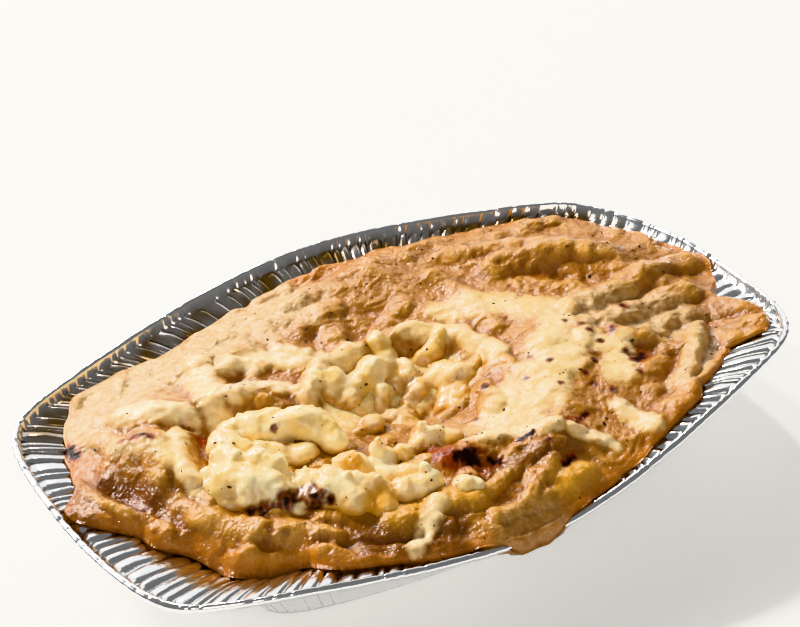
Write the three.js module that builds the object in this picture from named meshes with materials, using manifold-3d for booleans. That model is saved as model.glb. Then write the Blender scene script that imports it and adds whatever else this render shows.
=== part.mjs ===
// Cheese spaetzle gratin baked in its pleated foil dish. Millimetres, +Z up.
// The origin is the middle of the dish's flat underside, and +X runs along the dish to its right end.
// Directions round the dish are given as a turn from 0 to 1, counter-clockwise from the right end.

import * as THREE from 'three';
import { mergeVertices } from 'three/addons/utils/BufferGeometryUtils.js';
import Module from 'manifold-3d';

const wasm = await Module();
wasm.setup();

const FULL = 2 * Math.PI;
const degrees = (angle) => (angle * Math.PI) / 180;

// Foil dish: the plan of the rim is four arcs that meet in soft corners
const SIDES = [
  { facing: degrees(0), reach: 112.5, radius: 115 }, // right end
  { facing: degrees(92.4), reach: 70, radius: 284 }, // far side
  { facing: degrees(180), reach: 114, radius: 900 }, // left end
  { facing: degrees(-89.3), reach: 69.6, radius: 308 }, // near side
];
const CORNER_SHARPNESS = 22;
const PLAN_STRETCH = { along: 112, across: 70 };

// Foil dish: heights, and how much the full dish has bent, every eighth of a turn
const RIM_HEIGHT = 33;
const RIM_LIFT = [-0.5, -3.8, 2.9, -1.8, -0.1, 2.4, -6.2, 7.0];

// Foil dish: its section from the rolled rim down to the base
const FOIL = 0.6;
const BEAD = 1.2;
const BEAD_SHOULDER = { out: 0.8, up: 0.6 };
const LIP_HEIGHT = 3;
const FLANGE_FALL = Math.tan(degrees(18));
const FLANGE = { atSides: 12, atEnds: 28, easing: 1 };
const BASE_INSET = { atSides: 25.5, atEnds: 50, easing: 2 };
const BASE_FILLET = 3;
const PLEATS = 66;
const PLEAT_DEPTH = 1.1;

// Gratin: how far its edge lies in from the rim, every twenty-fourth of a turn
const FOOD_INSET = [
  3, 5, 7, 8, 9, 9, 9, 11, 12, 8, 15, 12,
  4, 17, 26, 25, 9, 3.5, 3.5, 4, 8, 16, 20, 11,
];
const FOOD_LEVEL = 29.5;
const FOOD_DOME = 4.5;
const EDGE_ROUNDING = 8;
const EDGE_THICKNESS = 2.5;
const FOOD_CLEARANCE = 0.35;
const FOOD_SPOKES = 88;
const FOOD_RINGS = 17;
const RING_CROWDING = 1.35;
const LEAST_SHELF = 2;

// Gratin: folds and lumps of the crust, each a smooth hill or dip with its two half-widths
const FOLDS = [
  { x: -1, y: -2, rise: -13, long: 24, wide: 19, turn: 20 }, // spooned-out hollow
  { x: -80, y: 9, rise: 6, long: 13, wide: 9, turn: 60 }, // left lump
  { x: -91, y: -1, rise: -3, long: 8, wide: 6, turn: 0 }, // left valley
  { x: -101, y: -2, rise: 4, long: 11, wide: 5, turn: 110 }, // left edge roll
  { x: -73, y: -12, rise: 5, long: 19, wide: 8, turn: -62 }, // roll round the pale clumps
  { x: -63, y: -44, rise: 2.5, long: 20, wide: 6, turn: -34 }, // near left roll
  { x: -59, y: 18, rise: 4, long: 22, wide: 7, turn: -20 }, // melted cheese tongue
  { x: -52, y: 6, rise: -3, long: 12, wide: 5, turn: -15 }, // hollow behind the clumps
  { x: -47, y: 34, rise: 3, long: 26, wide: 9, turn: 22 }, // far left fold
  { x: 12, y: 46, rise: 3, long: 34, wide: 10, turn: 4 }, // far fold
  { x: 68, y: 29, rise: 4, long: 24, wide: 8, turn: -28 }, // far right roll
  { x: 86, y: 0, rise: 4, long: 18, wide: 7, turn: -52 }, // right roll
  { x: 72, y: 12, rise: -3, long: 20, wide: 5, turn: -38 }, // right furrow
  { x: 45, y: -16, rise: 2.5, long: 28, wide: 20, turn: 30 }, // cheese blanket
  { x: 74, y: -40, rise: 4, long: 14, wide: 6, turn: 58 }, // near right roll
  { x: -8, y: -38, rise: 4, long: 15, wide: 5, turn: -18 }, // charred ridge
  { x: 14, y: -48, rise: 3, long: 20, wide: 5, turn: 38 }, // slanted ridge
];

// Gratin: pale clumps of spaetzle that stand up round the hollow, as knobs of dough
const KNOBS = [
  { x: -66, y: -21, z: 36, size: [10, 8, 7.5] },
  { x: -72, y: -15, z: 36, size: [7, 6, 7] },
  { x: -60, y: -29, z: 35, size: [8, 7, 6.5] },
  { x: -56, y: -22, z: 38, size: [6.5, 6, 5] },
  { x: -64, y: -8, z: 36, size: [9, 5.5, 5.5] },
  { x: -50, y: -9, z: 37, size: [11, 7, 6.5] },
  { x: -36, y: -8, z: 37, size: [8.5, 7, 6] },
  { x: -51, y: -33, z: 35, size: [8, 7, 6] },
  { x: -42, y: -32, z: 38.5, size: [5.5, 5, 5] },
  { x: -42, y: -41, z: 34.5, size: [9, 6.5, 6] },
  { x: -33, y: -43, z: 34, size: [6, 6, 5.5] },
  { x: -30, y: -27, z: 34, size: [6, 5.5, 8] },
  { x: -22, y: -39, z: 34.5, size: [7, 5, 4.5] },
  { x: -10, y: -24, z: 31, size: [5, 5, 7] },
  { x: -16, y: -48, z: 34, size: [4.5, 4, 3.5] },
];
const LARGE_KNOB = 7.5;
const KNOB_DETAIL = { large: 2, small: 1 };

// Gratin: single spaetzle that show through the crust, as long knobbly pieces
const SPAETZLE = [
  { x: -23, y: -56, z: 30, length: 20, thick: 12, turn: 40 },
  { x: -38, y: -51, z: 29.5, length: 26, thick: 11, turn: -20 },
  { x: 12, y: -59, z: 29, length: 22, thick: 12, turn: 28 },
  { x: 28, y: -50, z: 30.5, length: 26, thick: 10, turn: -30 },
  { x: 48, y: -50, z: 29.5, length: 30, thick: 11, turn: -10 },
  { x: 62, y: -34, z: 30, length: 28, thick: 11, turn: 50 },
  { x: 84, y: 14, z: 29, length: 32, thick: 12, turn: -48 },
  { x: 38, y: 41, z: 30, length: 36, thick: 12, turn: 8 },
  { x: -70, y: 31, z: 29, length: 32, thick: 12, turn: 35 },
  { x: 28, y: 16, z: 30.5, length: 30, thick: 11, turn: -40 },
];
const SPAETZLE_FACETS = { cap: 2, round: 8, along: 4 };
const UNEVENNESS = 0.14;
const UNEVEN_WAVES = { x: 10.3, y: 9.4, z: 8.8 };
const UNEVEN_SHIFTS = { x: 2.1, y: 1.3, z: 1 };

// Gratin: the wide flat piece that reaches the right rim, and the sauce that ran over the near rim
const TONGUE = { from: [79, -22, 30.5], to: [107, -36, 34], width: 18, thick: 5 };
const TONGUE_FACETS = { cap: 4, round: 10, along: 3 };
const OVERFLOW = { x: -9, y: -65.5, z: 27.6, size: [16, 7.2, 4], turn: 1 };
const OVERFLOW_FACETS = { round: 16, down: 10 };

// Points nearer to each other than this are one point
const SAME_POINT = 1e-4;

// Outer edge of the rim: where the ray at this turn meets the four arcs, with the nearest one ruling
function rimRay(turn) {
  const angle = turn * FULL;
  const aim = new THREE.Vector2(
    PLAN_STRETCH.along * Math.cos(angle),
    PLAN_STRETCH.across * Math.sin(angle),
  ).normalize();
  let closeness = 0;
  for (const side of SIDES) {
    const middle = new THREE.Vector2(Math.cos(side.facing), Math.sin(side.facing));
    middle.multiplyScalar(side.reach - side.radius);
    const along = aim.dot(middle);
    const distance = along + Math.sqrt(along ** 2 - middle.lengthSq() + side.radius ** 2);
    closeness += distance ** -CORNER_SHARPNESS;
  }
  return { aim, reach: closeness ** (-1 / CORNER_SHARPNESS) };
}

// A value given at even turns round the dish, eased from each to the next
function around(values, turn) {
  const place = (((turn % 1) + 1) % 1) * values.length;
  const before = Math.floor(place);
  const ease = THREE.MathUtils.smoothstep(place - before, 0, 1);
  return THREE.MathUtils.lerp(values[before % values.length], values[(before + 1) % values.length], ease);
}

// A size that differs between the long sides and the ends, eased from one to the other
function betweenSides(size, turn) {
  return THREE.MathUtils.lerp(size.atSides, size.atEnds, Math.abs(Math.cos(turn * FULL)) ** size.easing);
}

function rimTop(turn) {
  return RIM_HEIGHT + around(RIM_LIFT, turn);
}

// A place at some distance in from the rim's outer edge
function placeAt(turn, inset, z) {
  const { aim, reach } = rimRay(turn);
  return new THREE.Vector3(aim.x * (reach - inset), aim.y * (reach - inset), z);
}

// Height of the foil's inner face on the flange and wall, without its pleats
function foilHeight(turn, inset) {
  const flange = betweenSides(FLANGE, turn);
  const lipFoot = rimTop(turn) - LIP_HEIGHT;
  const flangeEnd = lipFoot - flange * FLANGE_FALL;
  if (inset < flange) {
    return lipFoot - inset * FLANGE_FALL;
  }
  const foot = betweenSides(BASE_INSET, turn) - BASE_FILLET;
  const down = THREE.MathUtils.clamp((inset - flange) / (foot - flange), 0, 1);
  return THREE.MathUtils.lerp(flangeEnd, FOIL + BASE_FILLET, down);
}

// A form turned about the axis, each of its points then moved to the place that the plan gives it
function reshapedLathe(levels, spokes, place) {
  const profile = Array.from({ length: levels }, (_, level) => {
    const onAxis = level === 0 || level === levels - 1;
    return new THREE.Vector2(onAxis ? 0 : 1, level);
  });
  const geometry = new THREE.LatheGeometry(profile, spokes);
  const position = geometry.attributes.position;
  for (let index = 0; index < position.count; index += 1) {
    const spoke = Math.floor(index / levels) % spokes;
    const point = place(index % levels, spoke / spokes, spoke);
    position.setXYZ(index, point.x, point.y, point.z);
  }
  return geometry;
}

// The dish's section, from the middle of the underside, up outside, over the bead and down inside.
// Extra metal on both faces gives the space that the food has to stay out of.
function dishSection(turn, pleat, extra) {
  const rim = rimTop(turn);
  const flange = betweenSides(FLANGE, turn);
  const base = betweenSides(BASE_INSET, turn);
  const fold = (pleat * PLEAT_DEPTH) / 2;
  const under = FOIL + extra;
  const bead = BEAD + extra;
  const shoulder = { out: bead * BEAD_SHOULDER.out, up: bead * BEAD_SHOULDER.up };
  const beadHeight = rim - BEAD;
  const inner = (inset) => foilHeight(turn, inset);
  return [
    [base, -extra, 0],
    [base - BASE_FILLET, inner(base - BASE_FILLET) - under, 0],
    [flange, inner(flange) - under, fold],
    [2 * BEAD - under, inner(0) - under, fold / 2],
    [2 * BEAD - under, beadHeight - bead, 0],
    [BEAD - shoulder.out, beadHeight - shoulder.up, 0],
    [BEAD - shoulder.out, beadHeight + shoulder.up, 0],
    [BEAD, beadHeight + bead, 0],
    [BEAD + shoulder.out, beadHeight + shoulder.up, 0],
    [2 * BEAD + extra, inner(0) + extra, fold / 2],
    [flange + extra, inner(flange) + extra, fold],
    [base - BASE_FILLET + extra, inner(base - BASE_FILLET) + extra, 0],
    [base + extra, FOIL + extra, 0],
  ];
}

function dishGeometry(extra) {
  const levels = dishSection(0, 0, 0).length + 2;
  return reshapedLathe(levels, PLEATS * 2, (level, turn, spoke) => {
    if (level === 0) {
      return new THREE.Vector3(0, 0, -extra);
    }
    if (level === levels - 1) {
      return new THREE.Vector3(0, 0, FOIL + extra);
    }
    const pleat = spoke % 2 === 0 ? 1 : -1;
    const [inset, height, fold] = dishSection(turn, pleat, extra)[level - 1];
    return placeAt(turn, inset, height + fold);
  });
}

// Height of the crust above the table, with its folds but without its rounded edge
function crustHeight(x, y) {
  const out = Math.hypot(x / PLAN_STRETCH.along, y / PLAN_STRETCH.across);
  let height = FOOD_LEVEL + FOOD_DOME * (1 - Math.min(out, 1) ** 2);
  for (const fold of FOLDS) {
    const turn = degrees(fold.turn);
    const along = (x - fold.x) * Math.cos(turn) + (y - fold.y) * Math.sin(turn);
    const across = (y - fold.y) * Math.cos(turn) - (x - fold.x) * Math.sin(turn);
    height += fold.rise * Math.exp(-((along / fold.long) ** 2) - (across / fold.wide) ** 2);
  }
  return height;
}

// The baked mass: its underside follows the foil, and its top is the crust out to the rounded edge
function crustGeometry() {
  const clear = FOOD_CLEARANCE + PLEAT_DEPTH / 2;
  const underside = 4;
  const levels = underside + FOOD_RINGS + 2;
  return reshapedLathe(levels, FOOD_SPOKES, (level, turn) => {
    if (level === 0) {
      return new THREE.Vector3(0, 0, FOIL + FOOD_CLEARANCE);
    }
    if (level === levels - 1) {
      return new THREE.Vector3(0, 0, crustHeight(0, 0));
    }
    const edge = around(FOOD_INSET, turn);
    const flange = Math.max(betweenSides(FLANGE, turn), edge + LEAST_SHELF);
    const base = betweenSides(BASE_INSET, turn);
    if (level <= underside) {
      const inset = [base + clear, base - BASE_FILLET + clear, flange + clear, edge + clear][level - 1];
      const height = level === 1 ? FOIL + FOOD_CLEARANCE : foilHeight(turn, inset - clear) + clear;
      return placeAt(turn, inset, height);
    }
    const { aim, reach } = rimRay(turn);
    const spread = reach - edge - clear;
    const inward = ((level - underside - 1) / FOOD_RINGS) ** RING_CROWDING;
    const radius = spread * (1 - inward);
    const x = aim.x * radius;
    const y = aim.y * radius;
    const rounding = Math.min((spread - radius) / EDGE_ROUNDING, 1);
    const edgeHeight = foilHeight(turn, edge) + clear + EDGE_THICKNESS;
    const rise = Math.sqrt(1 - (1 - rounding) ** 2);
    return new THREE.Vector3(x, y, THREE.MathUtils.lerp(edgeHeight, crustHeight(x, y), rise));
  });
}

// Uneven dough: every point moves in or out by smooth waves that differ from piece to piece
function roughen(geometry, piece) {
  const position = geometry.attributes.position;
  const point = new THREE.Vector3();
  for (let index = 0; index < position.count; index += 1) {
    point.fromBufferAttribute(position, index);
    let wave = 0;
    for (const axis of ['x', 'y', 'z']) {
      wave += Math.sin((point[axis] * FULL) / UNEVEN_WAVES[axis] + piece * UNEVEN_SHIFTS[axis]) / 3;
    }
    point.multiplyScalar(1 + UNEVENNESS * wave);
    position.setXYZ(index, point.x, point.y, point.z);
  }
  return geometry;
}

function knobGeometry(knob, piece) {
  const detail = knob.size[0] >= LARGE_KNOB ? KNOB_DETAIL.large : KNOB_DETAIL.small;
  const geometry = new THREE.IcosahedronGeometry(1, detail);
  geometry.scale(...knob.size);
  roughen(geometry, piece);
  geometry.translate(knob.x, knob.y, knob.z);
  return geometry;
}

function spaetzleGeometry(noodle, piece) {
  const { cap, round, along } = SPAETZLE_FACETS;
  const straight = noodle.length - noodle.thick;
  const geometry = new THREE.CapsuleGeometry(noodle.thick / 2, straight, cap, round, along);
  geometry.rotateZ(Math.PI / 2);
  roughen(geometry, piece);
  geometry.rotateZ(degrees(noodle.turn));
  geometry.translate(noodle.x, noodle.y, noodle.z);
  return geometry;
}

// A flat ribbon of dough, laid from the heap out over the flange to the lip
function tongueGeometry() {
  const from = new THREE.Vector3(...TONGUE.from);
  const to = new THREE.Vector3(...TONGUE.to);
  const reach = to.clone().sub(from);
  const { cap, round, along } = TONGUE_FACETS;
  const straight = reach.length() - TONGUE.width;
  const geometry = new THREE.CapsuleGeometry(TONGUE.width / 2, straight, cap, round, along);
  geometry.rotateZ(Math.PI / 2);
  geometry.scale(1, 1, TONGUE.thick / TONGUE.width);
  geometry.rotateY(-Math.asin(reach.z / reach.length()));
  geometry.rotateZ(Math.atan2(reach.y, reach.x));
  const middle = from.lerp(to, 0.5);
  geometry.translate(middle.x, middle.y, middle.z);
  return geometry;
}

function overflowGeometry() {
  const geometry = new THREE.SphereGeometry(1, OVERFLOW_FACETS.round, OVERFLOW_FACETS.down);
  geometry.scale(...OVERFLOW.size);
  geometry.rotateZ(degrees(OVERFLOW.turn));
  geometry.translate(OVERFLOW.x, OVERFLOW.y, OVERFLOW.z);
  return geometry;
}

function toSolid(geometry) {
  const bare = geometry.clone();
  bare.deleteAttribute('normal');
  bare.deleteAttribute('uv');
  const merged = mergeVertices(bare, SAME_POINT);
  return new wasm.Manifold(new wasm.Mesh({
    numProp: 3,
    vertProperties: new Float32Array(merged.attributes.position.array),
    triVerts: new Uint32Array(merged.index.array),
  }));
}

function toGeometry(solid) {
  const mesh = solid.getMesh();
  const geometry = new THREE.BufferGeometry();
  geometry.setAttribute('position', new THREE.BufferAttribute(mesh.vertProperties, 3));
  geometry.setIndex(new THREE.BufferAttribute(mesh.triVerts, 1));
  geometry.computeVertexNormals();
  return geometry;
}

// The whole heap in one solid: everything fused, cut clear of the foil, and its largest piece kept
function gratinGeometry() {
  let solid = toSolid(crustGeometry());
  KNOBS.forEach((knob, piece) => {
    solid = solid.add(toSolid(knobGeometry(knob, piece)));
  });
  SPAETZLE.forEach((noodle, piece) => {
    solid = solid.add(toSolid(spaetzleGeometry(noodle, piece + KNOBS.length)));
  });
  solid = solid.add(toSolid(tongueGeometry()));
  solid = solid.add(toSolid(overflowGeometry()));
  solid = solid.subtract(toSolid(dishGeometry(FOOD_CLEARANCE)));
  const pieces = solid.decompose().sort((a, b) => b.volume() - a.volume());
  return toGeometry(pieces[0]);
}

const foilMaterial = new THREE.MeshStandardMaterial({ color: 0xc8c8ca, metalness: 1, roughness: 0.3 });
const crustMaterial = new THREE.MeshStandardMaterial({ color: 0xc8934e, metalness: 0, roughness: 0.4 });

const dish = new THREE.Mesh(dishGeometry(0), foilMaterial);
dish.name = 'foil_dish';

const gratin = new THREE.Mesh(gratinGeometry(), crustMaterial);
gratin.name = 'spaetzle_gratin';

const model = new THREE.Group();
model.add(dish, gratin);

export default model;
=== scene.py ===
# %% [markdown]
# ## A cheese spaetzle gratin in its foil dish
# Spaetzle, cheese and sauce are baked together in a thin foil dish until the top browns. The dish
# and the food are one object here, because the food keeps its shape only in its dish. The measured
# solids of both are loaded first, as a fixed frame, and every finer surface is made round them.

# %% Load the frame
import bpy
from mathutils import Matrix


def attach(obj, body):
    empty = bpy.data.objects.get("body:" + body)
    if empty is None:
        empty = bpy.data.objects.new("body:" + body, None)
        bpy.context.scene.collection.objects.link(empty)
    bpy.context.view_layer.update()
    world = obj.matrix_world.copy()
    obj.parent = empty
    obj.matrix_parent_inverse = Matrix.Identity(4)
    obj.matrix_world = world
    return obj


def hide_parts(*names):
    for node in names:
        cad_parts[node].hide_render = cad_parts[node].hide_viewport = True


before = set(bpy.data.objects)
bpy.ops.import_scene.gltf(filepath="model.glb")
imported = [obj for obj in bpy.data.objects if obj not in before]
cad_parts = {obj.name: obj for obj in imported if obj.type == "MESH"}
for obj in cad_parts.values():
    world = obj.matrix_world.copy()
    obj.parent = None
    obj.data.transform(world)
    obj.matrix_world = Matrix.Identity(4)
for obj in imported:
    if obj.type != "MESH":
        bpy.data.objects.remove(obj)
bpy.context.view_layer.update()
print("solids:", sorted(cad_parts))

# %% Tools and units
import math
from itertools import product

import bmesh
import bpy
import numpy as np
from mathutils import Matrix, Vector

MM = 0.001
FULL = 2 * math.pi

# %% [markdown]
# ## Camera
# The dish was photographed from about 60 cm, from its near left, looking down at some 36 degrees.
# A long lens from there gives the same slight narrowing towards the far side. The camera is placed
# from the point it looks at, so that angle, height and distance can each be read in one line.

# %% Camera
CAMERA_AIM = (2.9, 10.3, 47.1)
CAMERA_TURN = math.radians(33.27)
CAMERA_ELEVATION = math.radians(35.83)
CAMERA_DISTANCE = 600
LENS = 94.7


def place_camera():
    view = Vector((
        math.sin(CAMERA_TURN) * math.cos(CAMERA_ELEVATION),
        math.cos(CAMERA_TURN) * math.cos(CAMERA_ELEVATION),
        -math.sin(CAMERA_ELEVATION),
    ))
    camera = bpy.data.objects.new("camera", bpy.data.cameras.new("camera"))
    camera.data.lens = LENS
    camera.data.sensor_width = 36
    camera.location = (Vector(CAMERA_AIM) - view * CAMERA_DISTANCE) * MM
    camera.rotation_euler = view.to_track_quat("-Z", "Y").to_euler()
    bpy.context.scene.collection.objects.link(camera)
    bpy.context.scene.camera = camera
    print("camera at", [round(value, 3) for value in camera.location])


place_camera()

# %% [markdown]
# ## Colours as they are
# Blender's default view greys strong colours, as film does, and golden crust would come out a dull
# pink. The neutral view is made for pictures of goods: a surface in plain light shows the colour
# that is written here, and only highlights are rounded off towards white.

# %% Neutral view
bpy.context.scene.view_settings.view_transform = "Khronos PBR Neutral"
print("view:", bpy.context.scene.view_settings.view_transform)

# %% [markdown]
# ## Light and floor
# Wet food and bare foil are both read from what they reflect. The main light is a window behind the
# dish, some 35 degrees up, so that it glances off the sauce towards the camera. Two small bright
# gaps beside it put fine sparkle on flatter places. A bright panel above the far side and a tall
# white card at the back right are there for the foil: its facets mirror them as white stripes. A
# large soft light fills the near side, where the crust glows golden.

# %% Light and floor
FLOOR_COLOUR = "#f6f5f2"
ROOM_GREY = 0.8
ROOM_STRENGTH = 0.28
LIGHTS = {  # place, width and height in mm, power in watts, colour
    "window_light": ((-330, 700, 560), (180, 150), 14.0, "#fffcf6"),
    "bright_gap": ((60, 800, 600), (80, 80), 4.5, "#fffdf8"),
    "high_gap": ((300, 760, 740), (70, 70), 4.0, "#fffdf8"),
    "back_panel": ((-450, 950, 760), (1400, 600), 5.0, "#ffffff"),
    "white_card": ((950, 1350, 760), (1900, 1300), 8.0, "#ffffff"),
    "near_fill": ((-500, -900, 600), (700, 600), 4.0, "#fff8ec"),
}


def linear(code):
    """A colour written as sRGB hex, as the linear colour that shaders and lights take."""
    shares = [int(code[start:start + 2], 16) / 255 for start in (1, 3, 5)]
    return tuple(s / 12.92 if s <= 0.04045 else ((s + 0.055) / 1.055) ** 2.4 for s in shares) + (1.0,)


def place_lights():
    for name, (place, (width, height), power, tint) in LIGHTS.items():
        data = bpy.data.lights.new(name, "AREA")
        data.shape = "RECTANGLE"
        data.energy = power
        data.size = width * MM
        data.size_y = height * MM
        data.color = linear(tint)[:3]
        light = bpy.data.objects.new(name, data)
        light.location = Vector(place) * MM
        light.rotation_euler = (-light.location).to_track_quat("-Z", "Y").to_euler()
        bpy.context.scene.collection.objects.link(light)
    world = bpy.data.worlds.new("room")
    world.use_nodes = True
    background = world.node_tree.nodes["Background"]
    background.inputs["Color"].default_value = (ROOM_GREY, ROOM_GREY, ROOM_GREY, 1)
    background.inputs["Strength"].default_value = ROOM_STRENGTH
    bpy.context.scene.world = world
    print("lights:", ", ".join(LIGHTS))


place_lights()

# %% [markdown]
# ## One way to add a node
# Every material below is a small tree of nodes. One function adds a node, sets its options and
# fills its inputs, either with plain values or with another node's output.

# %% Node and material helpers
def node(tree, kind, inputs=None, **options):
    """A new node of this kind, with its options set and its inputs filled or linked."""
    made = tree.nodes.new(kind)
    for name, value in options.items():
        setattr(made, name, value)
    for name, value in (inputs or {}).items():
        if isinstance(value, bpy.types.NodeSocket):
            tree.links.new(value, made.inputs[name])
        else:
            made.inputs[name].default_value = value
    return made


def new_material(name):
    """A material with its shader, ready for the shader's inputs to be filled."""
    material = bpy.data.materials.new(name)
    material.use_nodes = True
    print("material:", name)
    return material, material.node_tree, material.node_tree.nodes["Principled BSDF"]


# %% [markdown]
# ## A plain pale floor
# The dish stands on a large matt white sheet. A sheet lit only from above would go dark under the
# dish, so the paint gives off a little light of its own, as a light table does. It is a stage and
# no part of the object.

# %% Floor
FLOOR_HALF = 3000
FLOOR_GRAIN = 60.0
FLOOR_GLOW = 0.3


def floor_paint():
    """Matt white paint, lit a little from below as a light table is, so that its shadow stays soft."""
    material, tree, shader = new_material("matt_white_paint")
    place = node(tree, "ShaderNodeTexCoord").outputs["Object"]
    grain = node(tree, "ShaderNodeTexNoise", {"Vector": place, "Scale": FLOOR_GRAIN}).outputs["Fac"]
    tint = node(tree, "ShaderNodeMix", {
        0: grain, 6: linear(FLOOR_COLOUR), 7: linear("#f1efeb"),
    }, data_type="RGBA")
    tree.links.new(tint.outputs[2], shader.inputs["Base Color"])
    shader.inputs["Roughness"].default_value = 0.7
    shader.inputs["Emission Color"].default_value = linear(FLOOR_COLOUR)
    shader.inputs["Emission Strength"].default_value = FLOOR_GLOW
    return material


def make_floor():
    mesh = bpy.data.meshes.new("floor")
    form = bmesh.new()
    bmesh.ops.create_grid(form, x_segments=8, y_segments=8, size=FLOOR_HALF * MM)
    form.to_mesh(mesh)
    form.free()
    floor = bpy.data.objects.new("floor", mesh)
    mesh.materials.append(floor_paint())
    bpy.context.scene.collection.objects.link(floor)
    print(f"floor: {2 * FLOOR_HALF} mm square")


make_floor()

# %% [markdown]
# ## Uneven surfaces from one noise
# Baked food has no straight edge. A smooth random noise with bumps of a known size in millimetres
# is added to most surfaces below. It is worked out for whole arrays of points at once, which keeps
# a surface of a hundred thousand points down to about a second.

# %% Noise
DIRECTIONS = np.random.default_rng(1).normal(size=(256, 3))
DIRECTIONS /= np.linalg.norm(DIRECTIONS, axis=1, keepdims=True)
HASH_STEPS = (73856093, 19349663, 83492791)


def noise(points, size, seed=0):
    """Smooth noise from about -1 to 1 at each point, with bumps this many millimetres across."""
    place = np.asarray(points, float) / size
    cell = np.floor(place).astype(np.int64)
    inside = place - cell
    ease = inside ** 3 * (inside * (inside * 6 - 15) + 10)
    total = np.zeros(len(place))
    for corner in product((0, 1), repeat=3):
        at = cell + corner
        mixed = at[:, 0] * HASH_STEPS[0] ^ at[:, 1] * HASH_STEPS[1] ^ at[:, 2] * HASH_STEPS[2]
        slope = DIRECTIONS[(mixed ^ (mixed >> 11) ^ seed * 2654435761) & 255]
        weight = np.prod(np.where(corner, ease, 1 - ease), axis=1)
        total += weight * np.einsum("ij,ij->i", slope, inside - corner)
    return total * 1.6


def ridges(points, size, seed=0):
    """Noise turned into thin crests with round valleys, from 0 to 1."""
    return (1 - np.clip(np.abs(noise(points, size, seed)), 0, 1)) ** 2


def smooth_step(value, low, high):
    share = np.clip((value - low) / (high - low), 0, 1)
    return share * share * (3 - 2 * share)


trial = np.random.default_rng(2).uniform(0, 50, (1000, 3))
print("noise over 1000 points:", round(float(noise(trial, 5).std()), 3))

# %% [markdown]
# ## From points to a piece
# Each piece is worked out as plain points and faces in millimetres. One function makes the mesh in
# metres, stores measured values such as how browned each point is, and ties the piece to the body
# that it belongs to.

# %% Mesh helper
def make_piece(name, points, faces, material, marks=None):
    """A smooth mesh piece on the object's one body, from points in millimetres."""
    mesh = bpy.data.meshes.new(name)
    mesh.from_pydata((np.asarray(points) * MM).tolist(), [], faces)
    for mark, values in (marks or {}).items():
        layer = mesh.attributes.new(mark, "FLOAT", "POINT")
        layer.data.foreach_set("value", np.asarray(values, np.float32))
    mesh.materials.append(material)
    mesh.polygons.foreach_set("use_smooth", [True] * len(mesh.polygons))
    mesh.update()
    piece = bpy.data.objects.new(name, mesh)
    bpy.context.scene.collection.objects.link(piece)
    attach(piece, "root")
    triangles = sum(len(face.vertices) - 2 for face in mesh.polygons)
    print(f"{name}: {len(mesh.vertices)} points, {triangles} triangles")
    return piece


# %% [markdown]
# ## The plan of the dish
# The dish is a long rounded box seen from above: two long bowed sides and two ends, with soft
# corners. Each of the four is an arc. A direction out from the middle meets all four arcs, and the
# nearest rules. A high power of the distances picks it and rounds the corner at the same time.
# Places round the dish are a turn from 0 to 1, counter-clockwise from the right end.

# %% Plan of the dish
SIDES = {  # direction in degrees, distance from the middle, radius of the arc
    "right_end": (0, 112.5, 115),
    "far_side": (92.4, 70, 284),
    "left_end": (180, 114, 900),
    "near_side": (-89.3, 69.6, 308),
}
CORNER_SHARPNESS = 22
ALONG = 112
ACROSS = 70
RIM_HEIGHT = 33
RIM_LIFT = (-0.5, -3.8, 2.9, -1.8, -0.1, 2.4, -6.2, 7.0)


def around(values, turn):
    """A value given at even turns round the dish, eased from each to the next."""
    values = np.asarray(values, float)
    place = np.mod(turn, 1) * len(values)
    before = np.floor(place).astype(int) % len(values)
    ease = place - np.floor(place)
    ease = ease * ease * (3 - 2 * ease)
    return values[before] * (1 - ease) + values[(before + 1) % len(values)] * ease


def rim_ray(turn):
    """The direction of each turn in plan, and how far out the rim's outer edge is."""
    angle = FULL * np.asarray(turn, float)
    aim = np.stack([ALONG * np.cos(angle), ACROSS * np.sin(angle)], -1)
    aim /= np.linalg.norm(aim, axis=-1, keepdims=True)
    closeness = 0
    for facing, reach, radius in SIDES.values():
        facing = math.radians(facing)
        middle = (reach - radius) * np.array([math.cos(facing), math.sin(facing)])
        along = aim @ middle
        distance = along + np.sqrt(along ** 2 - middle @ middle + radius ** 2)
        closeness = closeness + distance ** -CORNER_SHARPNESS
    return aim, closeness ** (-1 / CORNER_SHARPNESS)


def rim_top(turn):
    return RIM_HEIGHT + around(RIM_LIFT, turn)


def place_at(turn, inset, height):
    """Points at these turns, this far in from the rim's outer edge, at these heights."""
    aim, reach = rim_ray(turn)
    flat = aim * (reach - inset)[..., None]
    return np.concatenate([flat, np.broadcast_to(height, reach.shape)[..., None]], -1)


print("rim's reach at quarter turns, mm:", np.round(rim_ray(np.arange(4) / 4)[1], 1))

# %% [markdown]
# ## The foil's section
# From the rolled bead the foil slopes in as a wide shallow flange, turns down into a steeper wall
# and meets the flat base. The flange is narrow along the sides and wide at the ends.

# %% Section of the foil
FOIL = 0.6
BEAD = 1.2
LIP_HEIGHT = 3
FLANGE_FALL = math.tan(math.radians(18))
FLANGE_CURVE = 1.8
FLANGE = {"at_sides": 12, "at_ends": 28, "easing": 1}
BASE_INSET = {"at_sides": 25.5, "at_ends": 50, "easing": 2}
BASE_FILLET = 3


def between_sides(size, turn):
    """A size that differs between the long sides and the ends."""
    share = np.abs(np.cos(FULL * np.asarray(turn))) ** size["easing"]
    return size["at_sides"] * (1 - share) + size["at_ends"] * share


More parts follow.
